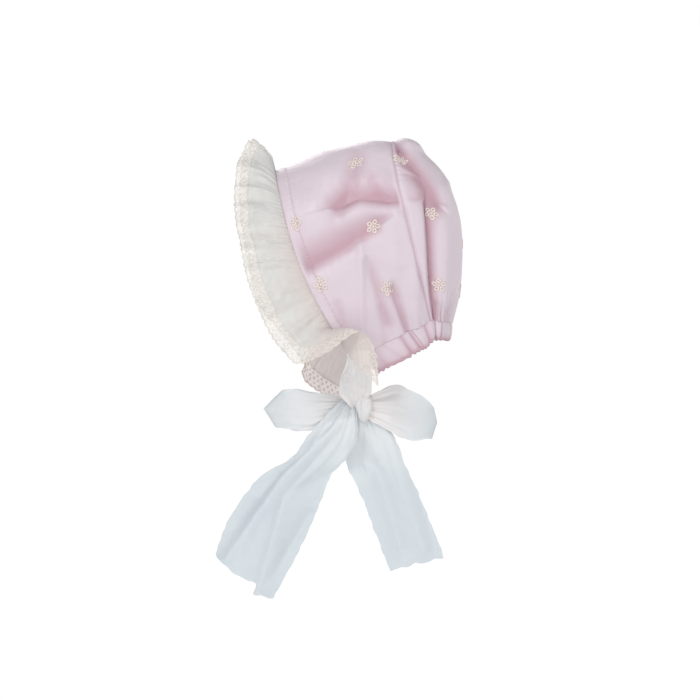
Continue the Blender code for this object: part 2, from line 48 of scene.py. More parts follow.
def curveAt(rows, name, at):  # smooth curve through the rows of a table
    x = rows["share"]
    y = rows[name]
    slope = np.gradient(y, x)
    at = np.clip(at, x[0], x[-1])
    i = np.clip(np.searchsorted(x, at, side="right") - 1, 0, len(x) - 2)
    step = x[i + 1] - x[i]
    s = (at - x[i]) / step
    ends = y[i] * (1 + 2 * s) * (1 - s) ** 2 + y[i + 1] * s * s * (3 - 2 * s)
    return ends + step * (slope[i] * s * (1 - s) ** 2 - slope[i + 1] * s * s * (1 - s))


def easeStep(s):
    s = np.clip(s, 0, 1)
    return s * s * (3 - 2 * s)


def unitOf(vectors):
    return vectors / np.maximum(np.linalg.norm(vectors, axis=-1, keepdims=True), 1e-12)


def bump(distance, width):
    return np.exp(-((distance / width) ** 2))


def wander(run, pitch, sway, swayRun):  # a wave along a run whose spacing wanders
    return np.sin(run / pitch * 2 * math.pi + sway * np.sin(run / swayRun))


def softNoise(points, size, seed):  # smooth wandering value of about -1 to 1 with lumps of a given size
    draw = np.random.default_rng(seed)
    total = np.zeros(points.shape[:-1])
    for _ in range(7):
        way = unitOf(draw.normal(size=3))
        total += np.sin(points @ way * 2 * math.pi / (size * draw.uniform(0.8, 1.6)) + draw.uniform(0, 6.28))
    return total / 3


def gridNormals(points):
    return unitOf(np.cross(np.gradient(points, axis=0), np.gradient(points, axis=1)))


def runLength(points):  # distance along a row of points
    return np.concatenate([[0], np.cumsum(np.linalg.norm(np.diff(points, axis=0), axis=1))])


def foldPush(points, folds, across, down):  # how far folds push points out, by their place in the side view
    push = np.zeros(points.shape[:-1])
    place = points[..., [0, 2]]
    for x0, z0, x1, z1, x2, z2, wideLeft, wideRight, depth in zip(*folds.values()):
        corners = np.array([(x0 * across, z0 * down), (x1 * across, z1 * down), (x2 * across, z2 * down)])
        away = np.full(push.shape, np.inf)
        left = np.zeros(push.shape)
        for start, end in zip(corners[:-1], corners[1:]):
            line = end - start
            along = np.clip(((place - start) @ line) / (line @ line), 0, 1)
            off = place - start - along[..., None] * line
            distance = np.linalg.norm(off, axis=-1)
            side = (line[0] * (place - start)[..., 1] - line[1] * (place - start)[..., 0]) / np.hypot(*line)
            nearer = distance < away
            left = np.where(nearer, easeStep(0.5 + side / (1.5 * mm)), left)
            away = np.where(nearer, distance, away)
        width = (wideLeft * left + wideRight * (1 - left)) * across
        push += depth * across * np.exp(-((away / width) ** 1.7))
    return push


# Mesh helpers

def selectNone():
    for thing in bpy.context.selected_objects:
        thing.select_set(False)


def quadsOf(number):  # four-cornered faces between a grid's point numbers
    return np.stack([number[:-1, :-1], number[:-1, 1:], number[1:, 1:], number[1:, :-1]], -1).reshape(-1, 4)


def gridObject(name, points, uv, wrap=False, values=None, flip=False):
    # a sheet of quads with a UV map in metres and optional named values on its points
    rows, columns = points.shape[:2]
    number = np.arange(rows * columns).reshape(rows, columns)
    if wrap:
        number = np.concatenate([number, number[:, :1]], axis=1)
    faces = quadsOf(number)
    if flip:
        faces = faces[:, ::-1]
    mesh = bpy.data.meshes.new(name)
    mesh.vertices.add(rows * columns)
    mesh.vertices.foreach_set("co", points.reshape(-1).astype(np.float32))
    mesh.loops.add(faces.size)
    mesh.loops.foreach_set("vertex_index", faces.reshape(-1).astype(np.int32))
    mesh.polygons.add(len(faces))
    mesh.polygons.foreach_set("loop_start", np.arange(0, faces.size, 4, dtype=np.int32))
    mesh.polygons.foreach_set("use_smooth", np.ones(len(faces), bool))
    mesh.update(calc_edges=True)
    layer = mesh.uv_layers.new(name="cloth")
    flatUv = uv.reshape(-1, 2)[faces.reshape(-1)]
    layer.data.foreach_set("uv", flatUv.reshape(-1).astype(np.float32))
    for key, value in (values or {}).items():
        attribute = mesh.attributes.new(key, "FLOAT", "POINT")
        attribute.data.foreach_set("value", value.reshape(-1).astype(np.float32))
    mesh.validate()
    piece = bpy.data.objects.new(name, mesh)
    bpy.context.scene.collection.objects.link(piece)
    return piece


def uvFrom(first, second):  # UV grid from a value along each way, spread over each other
    return np.stack(np.broadcast_arrays(first, second), -1)


def joinedObject(name, parts):  # one mesh from many (points, faces) parts
    points = np.concatenate([p for p, f in parts])
    faces = []
    start = 0
    for p, f in parts:
        faces += [tuple(int(i) + start for i in face) for face in f]
        start += len(p)
    mesh = bpy.data.meshes.new(name)
    mesh.from_pydata([tuple(map(float, p)) for p in points], [], faces)
    mesh.polygons.foreach_set("use_smooth", np.ones(len(faces), bool))
    mesh.update()
    piece = bpy.data.objects.new(name, mesh)
    bpy.context.scene.collection.objects.link(piece)
    return piece


def addThickness(piece, thickness):
    wall = piece.modifiers.new("thickness", "SOLIDIFY")
    wall.thickness = thickness
    wall.offset = 0


def closeEnds(piece):  # a face over each open end
    selectNone()
    bpy.context.view_layer.objects.active = piece
    piece.select_set(True)
    bpy.ops.object.mode_set(mode="EDIT")
    bpy.ops.mesh.select_all(action="DESELECT")
    bpy.ops.mesh.select_non_manifold()
    bpy.ops.mesh.edge_face_add()
    bpy.ops.object.mode_set(mode="OBJECT")


def fitPiece(piece, finish, node, instead=True):  # a piece's finish and the solid that it stands for
    piece.data.materials.append(materials[finish])
    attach(piece, "root")
    if instead:
        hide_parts(node)


def declareCloth(piece, flat, area=None):
    shown = piece.evaluated_get(bpy.context.evaluated_depsgraph_get())
    total = sum(p.area for p in shown.data.polygons)
    print("cloth share of", piece.name, round(total / (area or flat[0] * flat[1]), 2), flush=True)


def takeModel(thing):  # points and faces of a modelled object, which is then removed
    points = np.array([tuple(v.co) for v in thing.data.vertices])
    faces = [tuple(p.vertices) for p in thing.data.polygons]
    mesh = thing.data
    bpy.data.objects.remove(thing)
    bpy.data.meshes.remove(mesh)
    return points, faces


def tubeAlong(path, radius, sides=6):  # a round thread that follows a row of points
    along = unitOf(np.gradient(path, axis=0))
    helper = np.where(np.abs(along[:, 2:]) > 0.9, [[1.0, 0, 0]], [[0, 0, 1.0]])
    first = unitOf(np.cross(along, helper))
    second = np.cross(along, first)
    turn = np.linspace(0, 2 * math.pi, sides + 1)[:-1]
    ring = first[:, None] * np.cos(turn)[None, :, None] + second[:, None] * np.sin(turn)[None, :, None]
    points = path[:, None] + ring * radius
    count = len(path)
    number = np.arange(count * sides).reshape(count, sides)
    number = np.concatenate([number, number[:, :1]], axis=1)
    faces = quadsOf(number).tolist()
    faces += [list(range(sides))[::-1], [(count - 1) * sides + i for i in range(sides)]]
    return points.reshape(-1, 3), faces


class Surface:  # a grid of points that small things can be laid on
    def __init__(self, points):
        self.points = points
        self.normals = gridNormals(points)

    def at(self, i, j):
        rows, columns = self.points.shape[:2]
        i = np.clip(i, 0, rows - 1.001)
        j = np.clip(j, 0, columns - 1.001)
        a, b = np.floor(i).astype(int), np.floor(j).astype(int)
        s, t = (i - a)[..., None], (j - b)[..., None]

        def mixed(grid):
            low = grid[a, b] * (1 - t) + grid[a, b + 1] * t
            high = grid[a + 1, b] * (1 - t) + grid[a + 1, b + 1] * t
            return low * (1 - s) + high * s

        return mixed(self.points), unitOf(mixed(self.normals))

    def nearest(self, x, z, side):  # grid place whose side view is x, z on the near (-1) or far (1) side
        away = np.hypot(self.points[..., 0] - x, self.points[..., 2] - z)
        away = away + (self.points[..., 1] * side < 0) * 9
        return np.unravel_index(np.argmin(away), away.shape)

    def lay(self, model, i, j, turn=0.0, size=1.0, lift=0.0):  # a flat model laid at a grid place
        points, faces = model
        i0, j0 = min(int(i), self.points.shape[0] - 2), min(int(j), self.points.shape[1] - 2)
        stepI = np.linalg.norm(self.points[i0 + 1, j0] - self.points[i0, j0])
        stepJ = np.linalg.norm(self.points[i0, j0 + 1] - self.points[i0, j0])
        a = (points[:, 0] * math.cos(turn) - points[:, 1] * math.sin(turn)) * size
        b = (points[:, 0] * math.sin(turn) + points[:, 1] * math.cos(turn)) * size
        place, out = self.at(i + a / stepI, j + b / stepJ)
        return place + out * (points[:, 2:] * size + lift), faces


# Materials

def newGroup(name, inputs, outputs):
    group = bpy.data.node_groups.new(name, "ShaderNodeTree")
    for label, kind, value in inputs:
        socket = group.interface.new_socket(label, in_out="INPUT", socket_type=kind)
        if value is not None:
            socket.default_value = value
    for label, kind in outputs:
        group.interface.new_socket(label, in_out="OUTPUT", socket_type=kind)
    return group, group.nodes.new("NodeGroupInput"), group.nodes.new("NodeGroupOutput")


def mathNode(tree, operation, first, second=None):
    node = tree.nodes.new("ShaderNodeMath")
    node.operation = operation
    for socket, value in zip(node.inputs, (first, second)):
        if isinstance(value, bpy.types.NodeSocket):
            tree.links.new(value, socket)
        elif value is not None:
            socket.default_value = value
    return node.outputs[0]


def weaveGroup():  # over-and-under threads on a UV map in metres
    group, given, out = newGroup(
        "clothWeave",
        [
            ("Vector", "NodeSocketVector", None),
            ("Threads", "NodeSocketFloat", 2500.0),
            ("Uneven", "NodeSocketFloat", 0.3),
        ],
        [("Height", "NodeSocketFloat"), ("Gaps", "NodeSocketFloat")],
    )
    split = group.nodes.new("ShaderNodeSeparateXYZ")
    group.links.new(given.outputs["Vector"], split.inputs[0])
    rate = mathNode(group, "MULTIPLY", given.outputs["Threads"], math.pi)
    warp = mathNode(group, "SINE", mathNode(group, "MULTIPLY", split.outputs[0], rate))
    weft = mathNode(group, "SINE", mathNode(group, "MULTIPLY", split.outputs[1], rate))
    cell = mathNode(group, "MULTIPLY", warp, weft)
    noise = group.nodes.new("ShaderNodeTexNoise")
    noise.inputs["Scale"].default_value = 900
    noise.inputs["Detail"].default_value = 2
    group.links.new(given.outputs["Vector"], noise.inputs["Vector"])
    rough = mathNode(group, "MULTIPLY", noise.outputs[0], given.outputs["Uneven"])
    height = mathNode(group, "ADD", mathNode(group, "MULTIPLY", cell, 0.5), rough)
    group.links.new(height, out.inputs["Height"])
    warpGap, weftGap = mathNode(group, "ABSOLUTE", warp), mathNode(group, "ABSOLUTE", weft)
    openShare = mathNode(group, "MULTIPLY", warpGap, weftGap)
    group.links.new(openShare, out.inputs["Gaps"])
    return group


def toneAndShadingGroup():  # slow random change of tone over a piece, plus painted shade or painted light mixed in by a per-point painted-shading value: darker in folds, seams and creases, lighter near the ribbon's knot
    group, given, out = newGroup(
        "clothToneAndShading",
        [
            ("Light", "NodeSocketColor", (1, 1, 1, 1)),
            ("CloudAndShadeColor", "NodeSocketColor", (0.5, 0.5, 0.5, 1)),
            ("PaintedShare", "NodeSocketFloat", 0.0),
            ("Size", "NodeSocketFloat", 30.0),
            ("Cloud", "NodeSocketFloat", 0.12),
        ],
        [("Color", "NodeSocketColor")],
    )
    place = group.nodes.new("ShaderNodeTexCoord")
    noise = group.nodes.new("ShaderNodeTexNoise")
    noise.inputs["Detail"].default_value = 3
    group.links.new(place.outputs["Object"], noise.inputs["Vector"])
    group.links.new(given.outputs["Size"], noise.inputs["Scale"])
    cloud = mathNode(group, "SUBTRACT", noise.outputs[0], 0.5)
    cloud = mathNode(group, "MULTIPLY", cloud, given.outputs["Cloud"])
    share = mathNode(group, "ADD", cloud, given.outputs["PaintedShare"])
    share.node.use_clamp = True
    mix = group.nodes.new("ShaderNodeMix")
    mix.data_type = "RGBA"
    group.links.new(share, mix.inputs["Factor"])
    group.links.new(given.outputs["Light"], mix.inputs["A"])
    group.links.new(given.outputs["CloudAndShadeColor"], mix.inputs["B"])
    group.links.new(mix.outputs["Result"], out.inputs["Color"])
    return group


def laceGroup():  # net of small holes with closed spots and edges, on a UV map in metres, v across the lace
    group, given, out = newGroup(
        "laceHoles",
        [
            ("Vector", "NodeSocketVector", None),
            ("Pitch", "NodeSocketFloat", 0.0052),
            ("Depth", "NodeSocketFloat", 0.011),
        ],
        [("Solid", "NodeSocketFloat"), ("Height", "NodeSocketFloat")],
    )
    split = group.nodes.new("ShaderNodeSeparateXYZ")
    group.links.new(given.outputs["Vector"], split.inputs[0])
    along, across = split.outputs[0], split.outputs[1]

    def net(size, shift):  # round holes on a staggered net
        a = mathNode(group, "DIVIDE", along, size)
        b = mathNode(group, "DIVIDE", across, size)
        p = mathNode(group, "SINE", mathNode(group, "MULTIPLY", mathNode(group, "ADD", a, b), math.pi))
        q = mathNode(group, "SINE", mathNode(group, "MULTIPLY", mathNode(group, "SUBTRACT", a, b), math.pi))
        rounds = mathNode(group, "ABSOLUTE", mathNode(group, "MULTIPLY", p, q))
        return mathNode(group, "SUBTRACT", rounds, shift)

    ground = net(0.0013, 0.5)
    level = mathNode(group, "DIVIDE", across, given.outputs["Depth"])
    motif = mathNode(group, "GREATER_THAN", net(given.outputs["Pitch"], 0.55), 0.0)  # closed spots
    rim = mathNode(group, "GREATER_THAN", level, 0.92)
    head = mathNode(group, "LESS_THAN", level, 0.08)
    closed = mathNode(group, "MAXIMUM", mathNode(group, "MAXIMUM", motif, rim), head)
    petals = mathNode(group, "GREATER_THAN", net(0.0024, 0.5), 0.0)
    pierced = mathNode(group, "SUBTRACT", 1.0, mathNode(group, "MULTIPLY", petals, 0.5))
    closed = mathNode(group, "MULTIPLY", closed, pierced)
    hole = mathNode(group, "GREATER_THAN", ground, 0.0)
    openness = mathNode(group, "MULTIPLY", hole, mathNode(group, "SUBTRACT", 1.0, closed))
    solid = mathNode(group, "SUBTRACT", 1.0, openness)
    solid.node.use_clamp = True
    group.links.new(solid, out.inputs["Solid"])
    group.links.new(mathNode(group, "SUBTRACT", closed, ground), out.inputs["Height"])
    return group


clothWeave = weaveGroup()
clothToneAndShading = toneAndShadingGroup()
laceHoles = laceGroup()

# each finish's second colour is mixed in a little at random for uneven tone, and further by the
# paintedShading value: painted shade (darker, warmer) on satin, voile and lace, painted light (lighter,
# warmer) on the ribbon
finishes = {
    "pinkSatin": {
        "light": (0.64, 0.55, 0.605), "cloudAndPaintedTone": (0.49, 0.315, 0.37), "gloss": 0.4, "rough": 0.44, "sheen": 0.0,
        "threads": 2800, "bump": 0.04, "alpha": 1.0, "cloud": 0.22, "size": 26,
    },
    "ivoryVoile": {
        "light": (0.645, 0.645, 0.625), "cloudAndPaintedTone": (0.64, 0.55, 0.525), "gloss": 0.2, "rough": 0.75,
        "sheen": 0.1, "threads": 1500, "bump": 0.10, "alpha": 0.78, "cloud": 0.3, "size": 40,
    },
    "ivoryLace": {
        "light": (0.73, 0.70, 0.66), "cloudAndPaintedTone": (0.66, 0.56, 0.52), "gloss": 0.2, "rough": 0.8, "sheen": 0.1,
        "threads": 2200, "bump": 0.15, "alpha": 1.0, "cloud": 0.45, "size": 60,
    },
    "whiteRibbon": {
        "light": (0.55, 0.61, 0.65), "cloudAndPaintedTone": (0.90, 0.86, 0.84), "gloss": 0.25, "rough": 0.5, "sheen": 0.12,
        "threads": 1700, "bump": 0.08, "alpha": 0.86, "cloud": 0.3, "size": 35,
    },
    "creamThread": {
        "light": (0.73, 0.63, 0.60), "cloudAndPaintedTone": (0.58, 0.43, 0.43), "gloss": 0.35, "rough": 0.5, "sheen": 0.2,
        "threads": 2600, "bump": 0.2, "alpha": 1.0, "cloud": 0.3, "size": 300,
    },
    "pinkThread": {
        "light": (0.74, 0.63, 0.69), "cloudAndPaintedTone": (0.62, 0.45, 0.53), "gloss": 0.3, "rough": 0.45, "sheen": 0.15,
        "threads": 2600, "bump": 0.1, "alpha": 1.0, "cloud": 0.2, "size": 300,
    },
}


def clothMaterial(name, kind, paintedShadingName=None, lace=False):
    facts = finishes[kind]
    material = bpy.data.materials.new(name)
    material.use_nodes = True
    tree = material.node_tree
    shader = tree.nodes["Principled BSDF"]
    shader.inputs["Roughness"].default_value = facts["rough"]
    shader.inputs["Sheen Weight"].default_value = facts["sheen"]
    shader.inputs["Sheen Roughness"].default_value = 0.4
    shader.inputs["Specular IOR Level"].default_value = facts["gloss"]
    toneShading = tree.nodes.new("ShaderNodeGroup")
    toneShading.node_tree = clothToneAndShading
    toneShading.inputs["Light"].default_value = (*facts["light"], 1)
    toneShading.inputs["CloudAndShadeColor"].default_value = (*facts["cloudAndPaintedTone"], 1)
    toneShading.inputs["Size"].default_value = facts["size"]
    toneShading.inputs["Cloud"].default_value = facts["cloud"]
    tree.links.new(toneShading.outputs["Color"], shader.inputs["Base Color"])
    # painted shade and painted light: this attribute pulls the base colour toward the finish's second colour
    if paintedShadingName:
        paintedShading = tree.nodes.new("ShaderNodeAttribute")
        paintedShading.attribute_name = paintedShadingName
        tree.links.new(paintedShading.outputs["Fac"], toneShading.inputs["PaintedShare"])
    uv = tree.nodes.new("ShaderNodeUVMap")
    uv.uv_map = "cloth"
    weave = tree.nodes.new("ShaderNodeGroup")
    weave.node_tree = clothWeave
    weave.inputs["Threads"].default_value = facts["threads"]
    tree.links.new(uv.outputs[0], weave.inputs["Vector"])
    height = weave.outputs["Height"]
    if lace:
        holes = tree.nodes.new("ShaderNodeGroup")
        holes.node_tree = laceHoles
        tree.links.new(uv.outputs[0], holes.inputs["Vector"])
        tree.links.new(holes.outputs["Solid"], shader.inputs["Alpha"])
        height = mathNode(tree, "ADD", height, holes.outputs["Height"])
    elif facts["alpha"] < 1:
        openShare = mathNode(tree, "MULTIPLY", weave.outputs["Gaps"], 2 * (1 - facts["alpha"]))
        tree.links.new(mathNode(tree, "SUBTRACT", 1.0, openShare), shader.inputs["Alpha"])
    relief = tree.nodes.new("ShaderNodeBump")
    relief.inputs["Strength"].default_value = facts["bump"]
    relief.inputs["Distance"].default_value = 0.2 * mm
    tree.links.new(height, relief.inputs["Height"])
    tree.links.new(relief.outputs[0], shader.inputs["Normal"])
    return material


materials = {
    "satin": clothMaterial("pinkSatin", "pinkSatin", "paintedShading"),
    "voile": clothMaterial("ivoryVoile", "ivoryVoile", "paintedShading"),
    "lace": clothMaterial("ivoryLace", "ivoryLace", "paintedShading", lace=True),
    "ribbon": clothMaterial("whiteRibbon", "whiteRibbon", "paintedShading"),
    "creamThread": clothMaterial("creamThread", "creamThread"),
    "pinkThread": clothMaterial("pinkThread", "pinkThread"),
    "laceThread": clothMaterial("laceThread", "ivoryLace"),
}
print("materials ready")


# Crown panel

crown = {
    "depth": 92 * mm, "browDrop": 23 * mm, "earDrop": 147.5 * mm, "earSetback": 59.5 * mm,
    "seamDrop": 140.5 * mm, "seamLean": 28 * mm, "headWidth": 116 * mm, "seamBow": 10 * mm,
    "widestAt": 0.42, "wall": 1.1 * mm, "band": 7.5 * mm, "bandRise": 0.55 * mm,
    "halfRun": 188 * mm, "seamDip": 1.1 * mm, "fullValley": 4.2 * mm, "rows": 150, "columns": 301,
}
crownSections = columnTable(
    "share topX topZ neck width neckWidth bow bowPeak",
    (0.0, 0.00, 0.00, 0.0, 0.95, 0.81, 1.00, 1.0),
    (0.3, 0.30, 0.47, 0.3, 0.99, 0.79, 0.75, 0.9),
    (0.6, 0.60, 0.84, 0.6, 1.00, 0.75, 0.50, 0.7),
    (0.8, 0.80, 1.03, 0.8, 1.00, 0.70, 0.40, 0.6),
    (1.0, 1.00, 1.00, 1.0, 0.98, 0.62, 0.42, 0.5),
)
foldNames = "x0 z0 x1 z1 x2 z2 wideLeft wideRight depth"
crownFolds = columnTable(
    foldNames,
    (-0.66, 0.675, -0.34, 0.568, -0.09, 0.468, 0.190, 0.060, -0.046),
    (-0.42, 0.352, -0.22, 0.308, 0.12, 0.326, 0.140, 0.040, -0.040),
    (-0.24, 0.100, -0.30, 0.240, -0.37, 0.380, 0.070, 0.090, -0.022),
    (-0.48, 0.100, -0.52, 0.260, -0.60, 0.420, 0.110, 0.130, 0.018),
    (-0.38, 0.425, -0.17, 0.372, 0.08, 0.385, 0.045, 0.060, 0.016),
    (-0.66, 0.800, -0.35, 0.690, -0.12, 0.590, 0.060, 0.110, 0.014),
    (-0.20, 0.560, -0.20, 0.780, -0.20, 1.020, 0.034, 0.050, 0.022),
    (-0.15, 0.640, -0.08, 0.760, 0.02, 0.960, 0.055, 0.040, -0.024),
    (0.05, 0.780, 0.13, 0.913, 0.20, 1.030, 0.050, 0.030, -0.036),
    (0.25, 0.700, 0.25, 0.860, 0.26, 1.000, 0.060, 0.060, 0.024),
    (-0.10, 0.190, -0.06, 0.262, 0.01, 0.312, 0.040, 0.060, -0.012),
    (-0.08, 0.425, -0.02, 0.412, 0.04, 0.400, 0.028, 0.028, -0.008),
    (0.05, 0.470, 0.08, 0.560, 0.11, 0.650, 0.070, 0.070, 0.012),
    (-0.40, 0.860, -0.36, 0.960, -0.34, 1.060, 0.045, 0.045, -0.014),
    (-0.05, 0.880, -0.02, 0.960, 0.00, 1.060, 0.035, 0.035, -0.010),
)


def crownLine(u, v):  # a line over the head at share u back from the face, v from -1 (near neck) to 1 (far)
    brow = np.array((-crown["depth"] * 0.925, -crown["browDrop"] * 0.97))
    corner = brow + np.array((crown["earSetback"], -crown["earDrop"]))
    seamTop = brow + np.array((crown["depth"], crown["browDrop"]))
    nape = seamTop + np.array((crown["seamLean"], -crown["seamDrop"]))
    top = brow + np.array((crown["depth"] * curveAt(crownSections, "topX", u),
                           crown["browDrop"] * curveAt(crownSections, "topZ", u)))
    neck = corner + curveAt(crownSections, "neck", u) * (nape - corner)
    half = curveAt(crownSections, "width", u) * crown["headWidth"] / 2
    neckHalf = curveAt(crownSections, "neckWidth", u) * crown["headWidth"] / 2
    widest = crown["widestAt"]
    turn = np.linspace(0, 1, 60)
    drop = np.concatenate([widest * (1 - np.cos(turn * math.pi / 2)), widest + (1 - widest) * turn[1:]])
    side = np.concatenate([half * np.sin(turn * math.pi / 2), half - (half - neckHalf) * turn[1:] ** 2])
    chord = neck - top
    front = np.array((chord[1], -chord[0])) / np.hypot(*chord)
    bow = crown["seamBow"] * curveAt(crownSections, "bow", u)
    bow = bow * np.sin(math.pi * drop ** curveAt(crownSections, "bowPeak", u))
    bowed = top + drop[:, None] * chord + bow[:, None] * front
    line = np.stack([bowed[:, 0], side, bowed[:, 1]], -1)
    run = runLength(line)
    at = np.abs(v) * run[-1]
    x, y, z = (np.interp(at, run, line[:, k]) for k in range(3))
    return np.stack([x, np.sign(v) * y, z], -1)


def bothSides(points, folds):  # the far side has the same folds a little moved and shallower
    near = foldPush(points, folds, crown["depth"], -crown["earDrop"])
    moved = points + np.array((0.04 * crown["depth"], 0, 0.03 * crown["earDrop"]))
    far = 0.8 * foldPush(moved, folds, crown["depth"], -crown["earDrop"])
    share = easeStep(0.5 + points[..., 1] / (0.35 * crown["headWidth"]))
    return near * (1 - share) + far * share


def crownGrid(us, vs):
    base = np.array([crownLine(u, vs) for u in us])
    out = gridNormals(base)
    inside = (easeStep(us / 0.07) * easeStep((1 - us) / 0.05))[:, None]
    push = bothSides(base, crownFolds) * inside
    slant = base @ np.array(((0.9, 0, 0.45), (0, 0.3, 0), (-0.45, 0, 0.9)))
    fine = 0.5 * mm * softNoise(slant * np.array((0.35, 1, 1)), 15 * mm, 3)
    fine = fine + 0.10 * mm * softNoise(base, 6 * mm, 5)
    back = us[:, None] * crown["depth"]
    edge = crown["band"]
    run = np.abs(vs)[None, :] * crown["halfRun"]
    band = crown["bandRise"] * easeStep((edge - back) / (0.9 * mm) + 0.5) * (1 - 0.8 * bump(back, 0.9 * mm))
    pucker = 0.20 * mm * wander(run, 4.6 * mm, 2, 31 * mm)
    pucker = pucker * bump(back - edge, 3.5 * mm)
    stitchDip = -0.30 * mm * bump(back - edge - 0.4 * mm, 0.8 * mm)
    neckRun = (1 - np.abs(vs)[None, :]) * crown["halfRun"]
    pleats = wander(back, 9.5 * mm, 2.6, 11 * mm)
    pleats = pleats + 0.45 * wander(back, 4.3 * mm, 3, 8 * mm)
    gather = 0.6 * mm * pleats * bump(neckRun, 11 * mm) * (0.7 + 0.3 * np.sign(vs))[None, :]
    seamRoll = -crown["seamDip"] * bump((1 - us)[:, None] * crown["depth"], 1.3 * mm)
    push = push + fine * inside + band + pucker + stitchDip + gather + seamRoll
    # painted shade: colour darkened in the fold valleys, along the back seam's dip and along the stitch
    # line's dip
    valleyShade = np.clip(-bothSides(base, crownFolds) * inside / crown["fullValley"], 0, 1) ** 1.1
    valleyShade = valleyShade + 0.45 * bump((1 - us)[:, None] * crown["depth"], 0.9 * mm)
    valleyShade = valleyShade + 0.25 * bump(back - edge - 0.4 * mm, 0.6 * mm)
    return base + out * push[..., None], np.clip(valleyShade, 0, 1)


crownUs = np.linspace(0, 1, crown["rows"])
crownVs = np.linspace(-1, 1, crown["columns"])
crownSurface, crownPaintedShade = crownGrid(crownUs, crownVs)
crownUv = uvFrom(crownUs[:, None] * crown["depth"], crownVs[None, :] * crown["halfRun"])
crownPiece = gridObject("crownPanel", crownSurface, crownUv, values={"paintedShading": crownPaintedShade}, flip=True)
addThickness(crownPiece, crown["wall"])
fitPiece(crownPiece, "satin", "crown_panel")
declareCloth(crownPiece, (0.376, 0.095), area=0.0305)
print("crown panel")


# Back panel

back = {
    "depth": 53.6 * mm, "drop": 141.8 * mm, "wall": 1.1 * mm, "seamRun": 180 * mm, "neckRun": 150 * mm,
    "sideRun": 60 * mm, "clothDown": 170 * mm, "clothHalf": 80 * mm, "rows": 170, "columns": 241,
}
backLine = columnTable(
    "share x z",
    (0.00, 0.00, 0.000),
    (0.07, 0.18, -0.014),
    (0.13, 0.33, 0.004),
    (0.21, 0.44, 0.066),
    (0.33, 0.68, 0.178),
    (0.45, 0.87, 0.300),
    (0.70, 1.00, 0.600),
    (0.87, 0.95, 0.830),
    (1.00, 0.84, 1.000),
)
backFolds = columnTable(
    foldNames,
    (0.08, 0.020, 0.24, 0.120, 0.46, 0.330, 0.045, 0.110, -0.058),
    (0.10, -0.010, 0.34, 0.050, 0.51, 0.210, 0.055, 0.045, 0.022),
    (0.12, 0.325, 0.26, 0.310, 0.38, 0.285, 0.050, 0.028, -0.014),
    (0.17, 0.345, 0.26, 0.622, 0.345, 0.900, 0.034, 0.030, 0.020),
    (0.345, 0.330, 0.365, 0.622, 0.38, 0.960, 0.060, 0.024, -0.062),
    (0.50, 0.252, 0.50, 0.516, 0.49, 0.833, 0.055, 0.055, 0.020),
    (0.10, 0.150, 0.20, 0.160, 0.29, 0.172, 0.018, 0.018, 0.014),
    (0.42, 0.860, 0.41, 0.930, 0.40, 1.000, 0.030, 0.030, -0.018),
    (0.55, 0.800, 0.53, 0.900, 0.50, 1.000, 0.030, 0.030, -0.014),
)


def backGrid(vs, ws):
    seam = crownLine(1.0, vs)
    middleX = seam[0, 0] + back["depth"] * curveAt(backLine, "x", vs)
    middleZ = seam[0, 2] - back["drop"] * curveAt(backLine, "z", vs)
    turn = ws * math.pi / 2
    roundX = np.cos(turn) ** 0.85
    roundY = np.sign(ws) * np.abs(np.sin(turn)) ** 0.85
    x = seam[:, :1] - 0.3 * mm + (middleX[:, None] - seam[:, :1]) * roundX
    y = seam[:, 1:2] * roundY
    z = seam[:, 2:] + (middleZ[:, None] - seam[:, 2:]) * roundX
    base = np.stack([x, y, z], -1)
    out = gridNormals(base)
    out[0] = out[2]
    out[1] = out[2]
    fromSeam = (1 - np.abs(ws))[None, :] * 0.6 * crown["headWidth"]
    inside = easeStep(fromSeam / (8 * mm)) * easeStep(vs / 0.04)[:, None]
    folds = bothSides(base, backFolds) * inside
    fine = 0.4 * mm * softNoise(base * np.array((1, 1, 0.35)), 15 * mm, 11)
    fine = fine + 0.10 * mm * softNoise(base, 6 * mm, 13)
    seamRun = vs[:, None] * back["seamRun"]
    gatherTop = easeStep(1.5 - vs / 0.30)[:, None] * bump(fromSeam - 3 * mm, 8 * mm)
    gathers = wander(seamRun, 4.2 * mm, 2.5, 17 * mm)
    gathers = 0.75 * mm * gathers * gatherTop
    neckRun = (1 - vs)[:, None] * back["neckRun"]
    sideRun = ws[None, :] * back["sideRun"]
    pleats = 0.8 * mm * wander(sideRun, 6.1 * mm, 2.2, 19 * mm)
    pleats = pleats * bump(neckRun, 16 * mm) * easeStep(fromSeam / (5 * mm))
    seamRoll = -crown["seamDip"] * bump(fromSeam, 1.6 * mm)
    push = folds + (fine + gathers) * easeStep(fromSeam / (2 * mm)) + pleats + seamRoll
    # painted shade: colour darkened in the fold valleys, along the seam's dip and in the hollows of the
    # gathers
    valleyShade = np.clip(-folds / crown["fullValley"], 0, 1) ** 1.1 + 0.5 * bump(fromSeam, 1.1 * mm)
    valleyShade = valleyShade + np.clip(-gathers / mm, 0, 1) * 0.3
    return base + out * push[..., None], np.clip(valleyShade, 0, 1)


backVs = np.linspace(0.004, 1, back["rows"])
backWs = np.linspace(-1, 1, back["columns"])
backSurface, backPaintedShade = backGrid(backVs, backWs)
backUv = uvFrom(backVs[:, None] * back["clothDown"], backWs[None, :] * back["clothHalf"])
backPiece = gridObject("backPanel", backSurface, backUv, values={"paintedShading": backPaintedShade})
addThickness(backPiece, back["wall"])
fitPiece(backPiece, "satin", "back_panel")
declareCloth(backPiece, (0.19, 0.17), area=0.024)
print("back panel")


# Neck casing, ruched by its elastic

